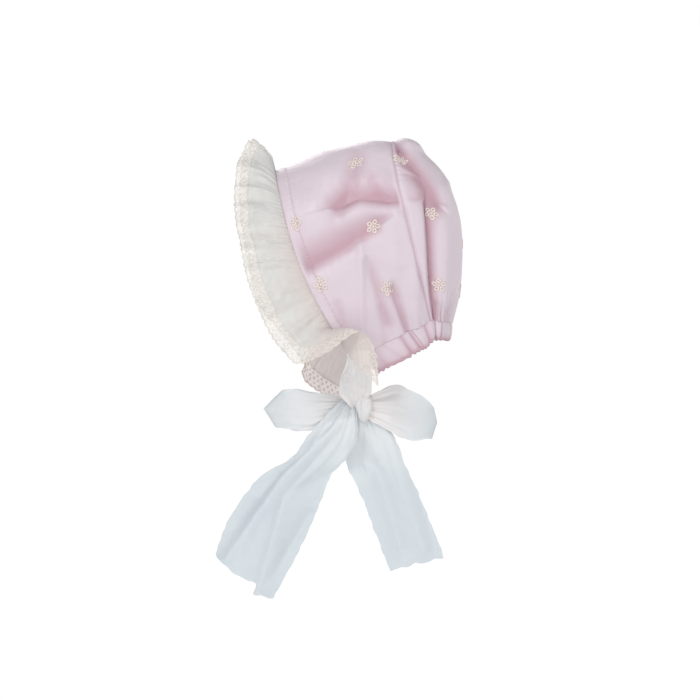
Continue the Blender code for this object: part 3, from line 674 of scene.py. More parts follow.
casing = {
    "height": 18.5 * mm, "thickness": 3.6 * mm, "start": 0.2,
    "stations": 700, "profile": 36,
}
nearCreases = columnTable(  # creases the photo shows: place along the side view, slant, half width, depth
    "x slant width depth",
    (12.5, 0.14, 1.9, 1.00),
    (19.4, 0.24, 1.3, 1.00),
    (22.4, 0.26, 1.0, 0.75),
    (30.4, 0.10, 2.0, 0.90),
    (38.3, 0.02, 1.2, 0.85),
    (43.0, -0.05, 1.3, 1.00),
    (-7.0, 0.20, 2.6, 0.45),
    (2.5, 0.60, 1.6, 0.25),
)


def casingGrid():
    us = np.linspace(casing["start"], 1, 60)
    panel, _ = crownGrid(us, crownVs)
    rear, _ = backGrid(backVs, backWs)
    line = np.concatenate([panel[:-1, 0], rear[-1], panel[::-1, -1][1:]])
    run = runLength(line)
    at = np.linspace(0, run[-1], casing["stations"])
    line = np.stack([np.interp(at, run, line[:, k]) for k in range(3)], -1)
    padded = [np.pad(line[:, k], 9, mode="reflect", reflect_type="odd") for k in range(3)]
    smooth = np.stack([np.convolve(row, np.ones(19) / 19, "valid") for row in padded], -1)
    share = np.linspace(-1, 1, len(line))
    nape = easeStep(1.6 - 2.2 * np.abs(share))
    down = unitOf(np.stack([0.42 - 0.52 * nape, 0 * share, -0.9 + 0 * share], -1))
    along = unitOf(np.gradient(smooth, axis=0))
    out = unitOf(np.cross(along, down))
    height = casing["height"] * (1 - 0.24 * nape)
    # creases: the photo's on the near side, then irregular ones round the nape and the far side
    draw = np.random.default_rng(21)
    places = []
    half = int(len(line) * 0.42)
    for x, slant, width, depth in zip(*nearCreases.values()):
        places.append((at[np.argmin(np.abs(smooth[:half, 0] - x * mm))], slant, width * mm, depth))
    spot = at[half] - 4 * mm
    while spot < run[-1] - 4 * mm:
        places.append((spot, draw.uniform(-0.2, 0.2), draw.uniform(0.8, 1.5) * mm, draw.uniform(0.55, 1.0)))
        spot += draw.uniform(4.5, 9.5) * mm
    turn = np.linspace(0, 2 * math.pi, casing["profile"] + 1)[:-1]
    dropShare = 0.5 - 0.5 * np.sign(np.cos(turn)) * np.abs(np.cos(turn)) ** 0.8
    thick = np.sign(np.sin(turn)) * np.abs(np.sin(turn)) ** 0.75
    crease = np.zeros((len(line), len(turn)))
    for spot, slant, width, depth in places:
        middle = spot + slant * (dropShare - 0.5)[None, :] * casing["height"]
        crease += depth * np.exp(-(np.abs(at[:, None] - middle) / width) ** 1.5)
    crease = np.clip(crease, 0, 1.15)
    swell = 0.35 * softNoise(smooth, 11 * mm, 33)[:, None]
    puff = (2.5 + swell) * (1 - 0.7 * crease)
    faceOut = np.where(thick > 0, 1.0, 0.45)[None, :]
    ends = 1 - 0.6 * bump(at, 2 * mm)[:, None] - 0.6 * bump(at - run[-1], 2 * mm)[:, None]
    wide = casing["thickness"] / 2 * puff * faceOut * ends
    tall = height[:, None] * (1 - 0.05 * crease * (dropShare[None, :] > 0.5))
    frill = wander(at, 5.2 * mm, 2.5, 7 * mm)
    frill = frill * (0.6 + 0.4 * np.sin(at / (4 * mm)))
    tall = tall + 0.6 * mm * frill[:, None] * bump(1 - dropShare, 0.12)[None, :]
    shift = 0.5 * mm * softNoise(smooth, 22 * mm, 31)
    points = (smooth[:, None] + down[:, None] * (dropShare[None, :] * tall - 0.6 * mm)[..., None]
              + out[:, None] * (thick[None, :] * wide + shift[:, None])[..., None])
    uv = uvFrom(at[:, None] * 1.5, (np.arange(len(turn)) / len(turn) * 40 * mm)[None, :])
    # painted shade: a dark line along the top edge under the crown's edge, darker over the lower half and
    # underside, and darker in the creases
    rim = 0.5 * bump(dropShare, 0.04) + 0.25 * easeStep((dropShare - 0.4) / 0.4)
    rim = rim + 0.7 * easeStep((dropShare - 0.74) / 0.2)
    return points, uv, np.clip(crease * 0.75 + rim[None, :], 0, 1)


casingPoints, casingUv, casingPaintedShade = casingGrid()
casingPiece = gridObject("neckCasing", casingPoints, casingUv, True, {"paintedShading": casingPaintedShade}, flip=True)
closeEnds(casingPiece)
fitPiece(casingPiece, "satin", "neck_casing")
declareCloth(casingPiece, (0.27, 0.019))
print("neck casing")


# Ruffle and lace

ruffle = {
    "depth": 42 * mm, "lace": 11 * mm, "gap": 0.5 * mm, "waves": 18, "waveHeight": 4.7 * mm,
    "nearEnd": -0.93, "farEnd": 0.965, "fluteStart": -0.77,
    "fluteColumns": 260, "columns": 1000, "rows": 46, "laceRows": 14, "gathers": 118,
    "scallop": 6.4 * mm, "thread": 0.2 * mm,
}
reachNames = "share x0 out0 z0 x1 out1 z1 wave"
topReach = (  # both sides leave the brow alike
    (0.00, -0.20, 0.00, 0.93, -0.62, 0.00, 0.27, 0.6),
    (0.15, -0.40, 0.15, 0.66, -1.00, 0.05, 0.05, 0.9),
    (0.30, -0.70, 0.45, 0.35, -1.00, 0.10, -0.15, 1.0),
    (0.50, -0.90, 0.40, 0.05, -1.00, 0.05, 0.05, 1.0),
    (0.68, -0.90, 0.35, -0.15, -1.00, 0.05, -0.45, 1.0),
)
nearReach = columnTable(
    reachNames,
    *topReach,
    (0.77, -0.65, 0.45, -0.40, -0.75, 0.05, -1.00, 0.7),
    (0.825, -0.45, 0.75, -0.05, -0.45, 0.00, -1.35, 0.1),
    (0.850, -0.35, 1.00, 0.20, 0.10, 0.10, -1.06, 0.0),
    (0.880, -0.15, 1.05, 0.50, 1.05, 0.25, -0.35, 0.0),
    (0.905, -0.10, 1.05, 0.30, 1.40, -0.05, -0.70, 0.0),
    (0.930, -0.10, 0.95, 0.00, 1.40, -0.25, -1.45, 0.0),
)
farReach = columnTable(
    reachNames,
    *topReach,
    (0.78, -0.52, 0.35, -0.60, -0.38, 0.05, -1.00, 0.8),
    (0.86, -0.50, 0.30, -0.80, -0.56, 0.00, -1.10, 0.6),
    (0.93, -0.10, 0.35, -0.92, -0.20, 0.05, -1.10, 0.4),
    (0.965, 0.06, 0.40, -0.92, 0.10, 0.10, -1.05, 0.2),
)


def ruffleColumns():
    flute = np.linspace(ruffle["nearEnd"], ruffle["fluteStart"], ruffle["fluteColumns"])
    rest = np.linspace(ruffle["fluteStart"], ruffle["farEnd"], ruffle["columns"])
    return np.concatenate([flute[:-1], rest])


def ruffleGrid(vs, rs):
    side = np.where(vs < 0, -1.0, 1.0)

    def both(name):
        return np.where(vs < 0, curveAt(nearReach, name, np.abs(vs)), curveAt(farReach, name, np.abs(vs)))

    startWay = np.stack([both("x0"), both("out0") * side, both("z0")], -1)
    endWay = np.stack([both("x1"), both("out1") * side, both("z1")], -1)
    seam = crownLine(0.0, vs)
    behind = crownLine(0.02, vs)
    forward = unitOf(seam - behind)
    root = seam + forward * ruffle["gap"]
    height = both("wave")
    phase = ruffle["waves"] * (vs - ruffle["fluteStart"]) / (ruffle["farEnd"] - ruffle["fluteStart"])
    wave = np.sin(2 * math.pi * phase + 1.25 * np.sin(2.3 * phase + 0.4))
    wave = wave * (0.78 + 0.40 * np.sin(1.7 * phase + 1))
    run = vs * crown["halfRun"]
    fine = run / (2 * crown["halfRun"]) * ruffle["gathers"] * 2 * math.pi
    fine = np.sin(fine + 2.5 * np.sin(run / (13 * mm)))
    fine = fine * (0.65 + 0.35 * np.sin(run / (17 * mm)))
    middleFold = np.sin(phase * 2.3 * 2 * math.pi + 1.8 * np.sin(3.1 * phase))
    middleFold = middleFold * (0.6 + 0.4 * np.sin(phase * 1.9 + 2))
    ridge = np.exp(-((np.sin(math.pi * phase + 0.45 * np.sin(2.3 * phase) - 0.78) / 0.16) ** 2))
    points = []
    values = []
    for r in rs:
        centre = root + ruffle["depth"] * (startWay * (r - r * r / 2) + endWay * (r * r / 2))
        heading = unitOf(startWay * (1 - r) + endWay * r)
        out = unitOf(np.cross(np.gradient(centre, axis=0), heading))
        low = max(r, 0)
        big = ruffle["waveHeight"] * height * wave * low**1.3
        small = 0.5 * mm * fine * math.exp(-((low / 0.17) ** 1.5))
        mid = 0.55 * mm * middleFold * math.exp(-(((low - 0.35) / 0.30) ** 2)) * (0.3 + 0.7 * height)
        lip = 0.8 * mm * ridge * height * easeStep(low / 0.3)
        hanging = easeStep((vs - 0.70) / 0.08) * low
        hangingFold = np.sin(run / (6.5 * mm) * 2 * math.pi)
        hangingFold = hangingFold + 0.5 * np.sin(run / (2.9 * mm) * 2 * math.pi + 1)
        mid = mid + 1.3 * mm * hanging * hangingFold
        place = centre + out * big[:, None]
        crinkle = 0.55 * softNoise(place, 17 * mm, 41) + 0.3 * softNoise(place, 7 * mm, 43)
        crinkle = crinkle * mm * easeStep(low / 0.4)
        points.append(centre + out * (big + small + mid + lip + crinkle)[:, None])
        # painted shade: darker, warmer colour near the root, over the far side, at the near flute's end and
        # in the hollows of the fine gathers
        ruffleShadeShare = 0.55 * bump(r, 0.4) * easeStep((np.abs(vs) - 0.25) / 0.3) + 0.85 * easeStep((vs - 0.5) / 0.35)
        ruffleShadeShare = ruffleShadeShare + 0.6 * easeStep((-vs - 0.82) / 0.03)
        values.append(np.clip(ruffleShadeShare + 0.3 * bump(r, 0.07) + 0.25 * np.clip(-(small + mid) / mm, 0, 1), 0, 1))
    return np.array(points), np.array(values)


ruffleVs = ruffleColumns()
laceAt = 1 - ruffle["lace"] / ruffle["depth"]
ruffleRs = np.linspace(-0.01, laceAt + 0.02, ruffle["rows"])
rufflePoints, rufflePaintedShade = ruffleGrid(ruffleVs, ruffleRs)
ruffleRun = runLength(rufflePoints[ruffle["rows"] // 2])
ruffleUv = uvFrom(ruffleRun[None, :], ruffleRs[:, None] * ruffle["depth"])
rufflePiece = gridObject("faceRuffle", rufflePoints, ruffleUv, values={"paintedShading": rufflePaintedShade})
fitPiece(rufflePiece, "voile", "face_ruffle")
declareCloth(rufflePiece, (0.56, 0.031))
print("ruffle")

laceRows = np.linspace(laceAt, 1.0, ruffle["laceRows"])
laceMiddle, _ = ruffleGrid(ruffleVs, np.array((0.9,)))
laceRun = runLength(laceMiddle[0])
scallopWave = np.abs(np.sin(laceRun / ruffle["scallop"] * math.pi + 0.5 * np.sin(laceRun / (23 * mm)))) ** 0.8
scallopWave = scallopWave * (0.75 + 0.25 * np.sin(laceRun / (9.1 * mm)))
# painted shade: the lace takes the ruffle's darker, warmer colour over the far side and in the gathers'
# hollows
lacePoints, lacePaintedShade = ruffleGrid(ruffleVs, laceRows)
outward = unitOf(lacePoints[-1] - lacePoints[-2])
laceShare = (laceRows - laceAt) / (1 - laceAt)
stretch = easeStep(laceShare)[:, None, None]
lacePoints = lacePoints + outward[None] * stretch * (1.5 * mm * scallopWave[None, :, None] - 0.6 * mm)
laceNormals = gridNormals(lacePoints)
laceUv = uvFrom(laceRun[None, :], (laceShare * ruffle["lace"])[:, None])
lacePiece = gridObject("laceEdging", lacePoints + laceNormals * 0.15 * mm, laceUv, values={"paintedShading": lacePaintedShade})
fitPiece(lacePiece, "lace", "lace_edging")
cords = [tubeAlong(lacePoints[0] + laceNormals[0] * 0.1 * mm, 0.6 * ruffle["thread"])]
cords.append(tubeAlong(lacePoints[-1], ruffle["thread"]))
threadPiece = joinedObject("laceCords", cords)
fitPiece(threadPiece, "laceThread", "lace_edging", instead=False)
declareCloth(lacePiece, (0.62, 0.011))
print("lace")


# Ribbon: ties, knot, loops and tails

bow = {
    "place": (-16.5 * mm, -18 * mm, -206.8 * mm), "tieWidth": 19 * mm, "tieGap": 1.3 * mm,
    "pleat": 1.2 * mm, "knotWidth": 13.4 * mm, "knotDepth": 17 * mm, "knotHeight": 22.4 * mm,
    "frontLoop": 71 * mm, "backLoop": 50 * mm, "loopHalf": 20 * mm, "loopOpen": 13 * mm, "loopRoot": 4.6 * mm,
    "loopSide": 2 * mm, "frontTailSide": -2.6 * mm, "backTailSide": 3 * mm,
    "frontTail": 165 * mm, "backTail": 130 * mm, "hemStep": 8 * mm, "hemBow": 6 * mm,
    "ribbonHalf": 30 * mm,
}


def ribbonPiece(name, points, uv, node, paintedShading, flat, flip=False):
    piece = gridObject(name, points, uv, values={"paintedShading": paintedShading}, flip=flip)
    fitPiece(piece, "ribbon", node)
    declareCloth(piece, flat)


def tieGrid(side, knotSide, seed):
    us = np.linspace(0, 1, 41)
    vs = np.linspace(-1, 1, 81)
    skin, _ = crownGrid(us, vs)
    column = 1 if side < 0 else -2
    outwardWay = gridNormals(skin)[5, column]
    backward = unitOf(skin[7, column] - skin[3, column])
    root = skin[5, column] + outwardWay * bow["tieGap"]
    knot = np.array(bow["place"]) + np.array((-4.5 * mm, knotSide, bow["knotHeight"] / 2 - 11 * mm))
    first = root + np.array((0, 0.16 * (root[1] - knot[1]), -18 * mm))
    second = knot + np.array((-5 * mm, side * 9 * mm, 21 * mm))
    ts = np.linspace(0, 1, 70)[:, None]
    path = root * (1 - ts) ** 3 + 3 * first * ts * (1 - ts) ** 2
    path = path + 3 * second * ts**2 * (1 - ts) + knot * ts**3
    across = np.linspace(-1, 1, 90)
    width = 0.92 + 0.40 * easeStep(ts[:, 0] * 1.6) - 0.75 * easeStep(ts[:, 0] * 4.5 - 3.5)
    width = bow["tieWidth"] / 2 * width
    heading = unitOf(np.gradient(path, axis=0))
    level = backward + (np.array((1.0, 0, 0)) - backward) * easeStep(ts * 1.5)
    sideways = unitOf(np.cross(heading, np.cross(level, heading)))
    out = unitOf(np.cross(heading, sideways))
    slip = across[None, :] + 0.12 * np.sin(ts * 5 + 2 * across[None, :])
    pleat = 0.7 * np.cos(slip * math.pi * 2.2 + 0.8) + 0.3 * np.cos(slip * math.pi * 5 + 1)
    pleat = pleat + 0.12 * np.cos(slip * 34)
    push = bow["pleat"] * pleat * easeStep(ts * 2 + 0.15)
    points = path[:, None] + sideways[:, None] * (width[:, None] * across)[..., None]
    points = points + out[:, None] * push[..., None]
    points = points + out[:, None] * (0.3 * mm * softNoise(points, 10 * mm, seed))[..., None]
    uv = uvFrom(ts * 60 * mm, across[None, :] * bow["ribbonHalf"])
    # painted light: the tie is coloured lighter and warmer, standing in for light on a tie that hangs in
    # shade
    return points, uv, 0.75 * np.ones_like(push)


for name, side, knotSide, node, seed, flat in (
    ("leftTie", -1, -3 * mm, "left_tie", 51, (0.036, 0.045)),
    ("rightTie", 1, 4 * mm, "right_tie", 53, (0.036, 0.078)),
):
    points, uv, paintedShading = tieGrid(side, knotSide, seed)
    ribbonPiece(name, points, uv, node, paintedShading, flat)
print("ties")


def knotGrid():
    around = np.linspace(0, 2 * math.pi, 97)[:-1]
    rise = np.linspace(-math.pi / 2 + 0.03, math.pi / 2 - 0.03, 60)
    bulge = np.cos(rise) ** 0.55
    height = np.sign(rise) * np.abs(np.sin(rise)) ** 0.7 * bow["knotHeight"] / 2
    taper = 1.04 - 0.5 * easeStep(-height / (bow["knotHeight"] / 2))
    x = bow["knotWidth"] / 2 * np.sign(np.cos(around)) * np.abs(np.cos(around)) ** 0.7
    y = bow["knotDepth"] / 2 * np.sign(np.sin(around)) * np.abs(np.sin(around)) ** 0.8
    size = (bulge * taper)[:, None]
    slant = (x / bow["knotWidth"])[None, :] - 0.22 * height[:, None] / bow["knotHeight"]
    groove = 1 - 0.07 * np.abs(np.sin(slant * 6 + 0.6)) * np.ones_like(size)
    groove = groove - 0.16 * bump(slant + 0.2, 0.06)
    points = np.stack([size * x * np.ones_like(groove), size * y * groove, height[:, None] + 0 * x], -1)
    points = points + 0.3 * mm * softNoise(points, 9 * mm, 61)[..., None] * np.array((1.0, 1.0, 0.4))
    uv = uvFrom(around[None, :] * 8 * mm, height[:, None])
    # painted light: the knot is coloured lighter and warmer, standing in for light where it sits in shade
    return points + np.array(bow["place"]), uv, 0.6 * np.ones_like(groove)


knotPoints, knotUv, knotPaintedLight = knotGrid()
knotPiece = gridObject("bowKnot", knotPoints, knotUv, wrap=True, values={"paintedShading": knotPaintedLight})
closeEnds(knotPiece)
fitPiece(knotPiece, "ribbon", "bow_knot")
print("knot")

frontLoopShape = columnTable(
    "share middle half",
    (0.0, 0.02, 0.36),
    (0.2, 0.02, 0.46),
    (0.5, -0.14, 0.75),
    (0.8, -0.05, 0.77),
    (1.0, -0.03, 0.72),
)
backLoopShape = columnTable(
    "share middle half",
    (0.0, 0.02, 0.42),
    (0.15, -0.02, 0.66),
    (0.38, -0.07, 0.99),
    (0.6, -0.30, 0.96),
    (0.87, -0.46, 0.76),
    (1.0, -0.58, 0.60),
)


def loopGrid(shape, length, topRound, footRound, side, seed):
    trip = np.linspace(0, 1, 150)[:, None]
    across = np.linspace(-1, 1, 80)[None, :]
    share = 1 - np.abs(2 * trip - 1) ** 1.4
    layer = np.sign(trip - 0.5)
    rounding = topRound * np.clip(across, 0, 1) + footRound * np.clip(-across, 0, 1)
    reach = length * share * (1 - rounding * share**2)
    opening = bow["loopRoot"] / 2 + (bow["loopOpen"] - bow["loopRoot"]) / 2 * easeStep(share * 1.5)
    closing = np.sqrt(np.clip(1 - share**4, 0, 1))
    slip = across + 0.10 * np.sin(4 * share + 2 * across)
    pleat = np.cos(slip * math.pi * 2.5) + 0.5 * np.cos(slip * math.pi * 5.5 + 1.3)
    ripple = mm * (1.05 * (1 - share) + 0.25) * pleat * (1 - 0.5 * share)
    middle = curveAt(shape, "middle", share) * bow["loopHalf"]
    half = curveAt(shape, "half", share) * bow["loopHalf"]
    x = side * (bow["knotWidth"] / 2 + 0.4 * mm + reach - 4.5 * mm * (1 - share) ** 4)
    y = layer * opening * closing + ripple + bow["loopSide"]
    z = middle + half * across
    points = np.stack(np.broadcast_arrays(x, y, z), -1)
    noise = softNoise(points, 14 * mm, seed) + 0.4 * softNoise(points, 5 * mm, seed + 1)
    ray = (z - middle) / np.maximum(half, mm)
    crease = 0.9 * bump(ray - 0.25 * side, 0.10) - 0.8 * bump(ray + 0.35, 0.13) + 0.5 * bump(ray - 0.72, 0.08)
    crease = np.clip(crease, -1, 1)
    points[..., 1] += 0.4 * mm * noise * share + layer * 1.3 * mm * crease * bump(share - 0.4, 0.33)
    points[..., 2] += 0.5 * mm * softNoise(points, 12 * mm, seed + 2) * np.abs(across)
    uv = uvFrom(trip * 2 * length, across * bow["ribbonHalf"])
    # painted light: lighter, warmer colour toward the knot, where the loop roots sit in shade
    paintedShading = np.clip(0.9 - 0.75 * share, 0, 1) * np.ones_like(z)
    return points + np.array(bow["place"]), uv, paintedShading


for name, shape, length, rounds, side, node, seed, flat in (
    ("frontLoop", frontLoopShape, bow["frontLoop"], (0.20, 0.13), -1, "front_loop", 71, (0.034, 0.145)),
    ("backLoop", backLoopShape, bow["backLoop"], (0.05, 0.08), 1, "back_loop", 75, (0.042, 0.110)),
):
    points, uv, paintedShading = loopGrid(shape, length, *rounds, side, seed)
    ribbonPiece(name, points, uv, node, paintedShading, flat, flip=side < 0)
print("loops")

tailNames = "share leftX leftZ rightX rightZ side"
frontTailShape = columnTable(
    tailNames,
    (0.00, -0.064, 0.050, 0.000, -0.012, 0.000),
    (0.10, -0.147, -0.040, 0.007, -0.128, 0.022),
    (0.22, -0.219, -0.120, -0.037, -0.225, 0.026),
    (0.36, -0.302, -0.232, -0.112, -0.308, 0.028),
    (0.50, -0.432, -0.306, -0.153, -0.402, 0.026),
    (0.66, -0.527, -0.410, -0.203, -0.528, 0.020),
    (0.82, -0.612, -0.545, -0.267, -0.668, 0.014),
    (1.00, -0.662, -0.690, -0.362, -0.845, 0.010),
)
backTailShape = columnTable(
    tailNames,
    (0.00, -0.050, 0.000, 0.065, 0.000, 0.000),
    (0.12, -0.090, -0.110, 0.175, -0.090, 0.000),
    (0.28, -0.105, -0.240, 0.250, -0.260, 0.004),
    (0.48, -0.030, -0.400, 0.340, -0.450, 0.012),
    (0.68, 0.040, -0.580, 0.410, -0.630, 0.016),
    (0.85, 0.095, -0.730, 0.460, -0.750, 0.018),
    (1.00, 0.160, -0.885, 0.480, -0.805, 0.018),
)
frontTailFolds = columnTable(
    foldNames,
    (-0.09, -0.080, -0.34, -0.310, -0.61, -0.700, 0.045, 0.030, -0.034),
    (-0.06, -0.090, -0.34, -0.420, -0.46, -0.860, 0.060, 0.026, 0.032),
    (-0.12, -0.310, -0.20, -0.350, -0.32, -0.400, 0.045, 0.030, -0.010),
    (-0.22, -0.500, -0.30, -0.640, -0.40, -0.780, 0.035, 0.035, -0.020),
    (-0.22, -0.190, -0.35, -0.300, -0.45, -0.420, 0.020, 0.020, 0.010),
    (-0.45, -0.470, -0.50, -0.560, -0.53, -0.680, 0.030, 0.030, -0.008),
)
backTailFolds = columnTable(
    foldNames,
    (-0.04, -0.030, -0.02, -0.130, 0.00, -0.240, 0.045, 0.030, -0.040),
    (0.07, -0.260, 0.15, -0.510, 0.22, -0.760, 0.050, 0.050, -0.028),
    (0.14, -0.060, 0.24, -0.410, 0.36, -0.760, 0.050, 0.050, 0.024),
    (0.30, -0.350, 0.37, -0.550, 0.42, -0.740, 0.030, 0.030, -0.010),
    (0.02, -0.040, 0.06, -0.160, 0.10, -0.260, 0.025, 0.025, 0.012),
)


def tailGrid(shape, folds, length, start, rootLift, stepAt, seed):
    ts = np.linspace(0, 1, 200)
    across = np.linspace(0, 1, 100)
    side = -curveAt(shape, "side", ts)
    left = np.stack([curveAt(shape, "leftX", ts), side, curveAt(shape, "leftZ", ts)], -1)
    right = np.stack([curveAt(shape, "rightX", ts), side, curveAt(shape, "rightZ", ts)], -1)
    points = length * (left[:, None] + (right - left)[:, None] * across[None, :, None])
    points[..., 2] += rootLift * ((1 - ts) ** 12)[:, None]
    push = foldPush(points, folds, length, length)
    slip = across[None, :] + 0.05 * np.sin(9 * ts[:, None] + 3 * across[None, :])
    pleat = np.cos(slip * math.pi * 7) + 0.5 * np.cos(slip * math.pi * 13 + 1)
    pleat = 0.8 * mm * pleat * np.exp(-((ts / 0.24) ** 1.3))[:, None]
    noise = softNoise(points, 34 * mm, seed) + 0.2 * softNoise(points, 9 * mm, seed + 1)
    crinkle = 0.6 * mm * noise * easeStep(ts * 5)[:, None]
    points[..., 1] -= push * easeStep(ts * 5)[:, None] + pleat + crinkle
    edge = 0.55 * mm * softNoise(points, 9 * mm, seed + 2) * (np.abs(across - 0.5)[None, :] * 2) ** 8
    points[..., 0] += edge
    if stepAt:
        heading = unitOf(points[-1] - points[-12])
        step = bow["hemStep"] * easeStep((across - stepAt) / 0.02 + 0.5)
        step = step + bow["hemBow"] * np.sin(math.pi * across) ** 0.5
        points += heading[None] * easeStep((ts - 0.8) / 0.2)[:, None, None] * step[None, :, None]
    hem = 0.8 * mm * softNoise(points, 8 * mm, seed + 3) * easeStep((ts - 0.93) / 0.07)[:, None]
    points[..., 2] += hem
    uv = uvFrom(ts[:, None] * length, across[None, :] * 55 * mm)
    # painted light: lighter, warmer colour near the knot, where the ribbon sits in shade and its sheer layers
    # overlap
    paintedShading = 0.28 * bump(ts, 0.3)[:, None] + 0 * push
    return points + np.array(start) + np.array(bow["place"]), uv, np.clip(paintedShading, 0, 1)


frontStart = (-bow["knotWidth"] / 2 + 0.8 * mm, bow["frontTailSide"], 0)
backStart = (0, bow["backTailSide"], -bow["knotHeight"] / 2 - 0.4 * mm)
for name, shape, folds, length, start, rootLift, stepAt, node, seed, flat in (
    ("frontTail", frontTailShape, frontTailFolds, bow["frontTail"], frontStart,
     0, 0.7, "front_tail", 81, (0.052, 0.165)),
    ("backTail", backTailShape, backTailFolds, bow["backTail"], backStart,
     8 * mm, 0, "back_tail", 85, (0.044, 0.130)),
):
    points, uv, paintedShading = tailGrid(shape, folds, length, start, rootLift, stepAt, seed)
    ribbonPiece(name, points, uv, node, paintedShading, flat)
print("tails")


# Embroidered flowers

flower = {
    "petals": 5, "petalAt": 3.6 * mm, "petalRound": 1.45 * mm, "thread": 0.8 * mm, "heart": 1.2 * mm,
    # places the photo shows, in millimetres back and up from the crown's top
    "crownPlaces": ((-22.6, -17.6), (-9.4, -67.5), (-68.6, -65.2), (-49.9, -111.2), (1.6, -115.1)),
    "backPlaces": ((12.5, -16.1), (35.1, -56.6), (41.3, -112.0)),
    # places out of the photo's sight, as shares of each panel's rows and columns
    "crownScatter": ((0.30, 0.56), (0.74, 0.58), (0.16, 0.68), (0.52, 0.66), (0.86, 0.70),
                     (0.30, 0.78), (0.66, 0.79), (0.20, 0.87), (0.50, 0.88), (0.82, 0.90)),
    "backScatter": ((0.20, 0.60), (0.42, 0.56), (0.66, 0.54), (0.86, 0.50),
                    (0.34, 0.78), (0.58, 0.74), (0.82, 0.72), (0.72, 0.88)),
}


def flowerModel():
    selectNone()
    parts = []
    for k in range(flower["petals"]):
        turn = 2 * math.pi * k / flower["petals"]
        spot = (flower["petalAt"] * math.cos(turn), flower["petalAt"] * math.sin(turn), 0.2 * mm)
        bpy.ops.mesh.primitive_torus_add(
            location=spot, rotation=(0, 0, turn), major_segments=16, minor_segments=6,
            major_radius=flower["petalRound"], minor_radius=flower["thread"],
        )
        petal = bpy.context.active_object
        petal.scale = (1.12, 0.9, 0.6)
        bpy.ops.object.transform_apply(location=True, rotation=True, scale=True)
        parts.append(petal)
    middle = (0, 0, 0.2 * mm)
    bpy.ops.mesh.primitive_uv_sphere_add(segments=12, ring_count=7, radius=flower["heart"], location=middle)
    heart = bpy.context.active_object
    heart.scale = (1, 1, 0.55)
    bpy.ops.object.transform_apply(location=True, rotation=True, scale=True)
    parts.append(heart)
    for part in parts:
        part.select_set(True)
    bpy.ops.object.join()
    return takeModel(bpy.context.active_object)


flowerShape = flowerModel()
crownSkin = Surface(crownSurface + gridNormals(crownSurface) * crown["wall"] / 2)
backSkin = Surface(backSurface + gridNormals(backSurface) * back["wall"] / 2)
flowers = []
draw = np.random.default_rng(91)
for skin, places in ((crownSkin, flower["crownPlaces"]), (backSkin, flower["backPlaces"])):
    for x, z in places:
        i, j = skin.nearest(x * mm, z * mm, -1)
        flowers.append(skin.lay(flowerShape, i, j, draw.uniform(0, 1.2), draw.uniform(0.95, 1.1)))
for skin, facts, places in (
    (crownSkin, crown, flower["crownScatter"]),
    (backSkin, back, flower["backScatter"]),
):
    for i, j in places:
        i, j = i * facts["rows"], j * facts["columns"]
        flowers.append(skin.lay(flowerShape, i, j, draw.uniform(0, 1.2), draw.uniform(0.95, 1.1)))
flowerPiece = joinedObject("embroideredFlowers", flowers)
fitPiece(flowerPiece, "creamThread", "crown_panel", instead=False)
print("flowers")


# Topstitching along the face band

stitch = {"length": 2.1 * mm, "round": 0.2 * mm, "pitch": 3.0 * mm, "edgeRow": 1.3 * mm}


def stitchModel():
    selectNone()
    bpy.ops.mesh.primitive_cylinder_add(vertices=6, radius=stitch["round"], depth=stitch["length"],
                                        rotation=(math.pi / 2, 0, 0))
    thing = bpy.context.active_object
    bpy.ops.object.transform_apply(location=True, rotation=True, scale=True)
    soften = thing.modifiers.new("round", "BEVEL")
    soften.width = 0.5 * stitch["round"]
    soften.segments = 2
    bpy.ops.object.modifier_apply(modifier="round")
    return takeModel(thing)


stitchShape = stitchModel()
stitches = []
rowLength = 2 * crown["halfRun"]
for backAt in (stitch["edgeRow"], crown["band"] + 0.2 * mm):
    i = backAt / crown["depth"] * (crown["rows"] - 1)
    count = int(rowLength / stitch["pitch"])
    for k in range(count):
        j = (k + 0.5) / count * (crown["columns"] - 1)
        stitches.append(crownSkin.lay(stitchShape, i, j, 0, 1, 0.06 * mm))
stitchPiece = joinedObject("topStitching", stitches)
fitPiece(stitchPiece, "pinkThread", "crown_panel", instead=False)
print("stitches")


# Studio

studio = {
    "floor": -0.92, "floorRound": 3.0, "corner": 0.15, "wall": 4.5,
    "aim": (-27.3 * mm, -0.01, -161.9 * mm), "lens": 150, "frameWidth": 0.546,
    "glow": (0.5, 1.1, 0.97, 0.2), "floorGlow": (0.9, 3.0, 0.4, 0.93), "sky": 0.3, "sensor": 36,
    "lamps": (  # name, place, size and power
        ("key", (-0.75, -1.55, 1.05), 0.6, 16.5),
        ("rear", (-0.5, 1.8, 0.9), 1.0, 11),
        ("back", (1.5, 0.9, 0.6), 1.0, 4),
        ("fill", (1.3, -1.3, 0.3), 1.2, 5),
        ("low", (-0.2, -1.9, -0.5), 1.0, 4),
        ("top", (0.0, 0.1, 1.6), 1.0, 3.5),
    ),
}


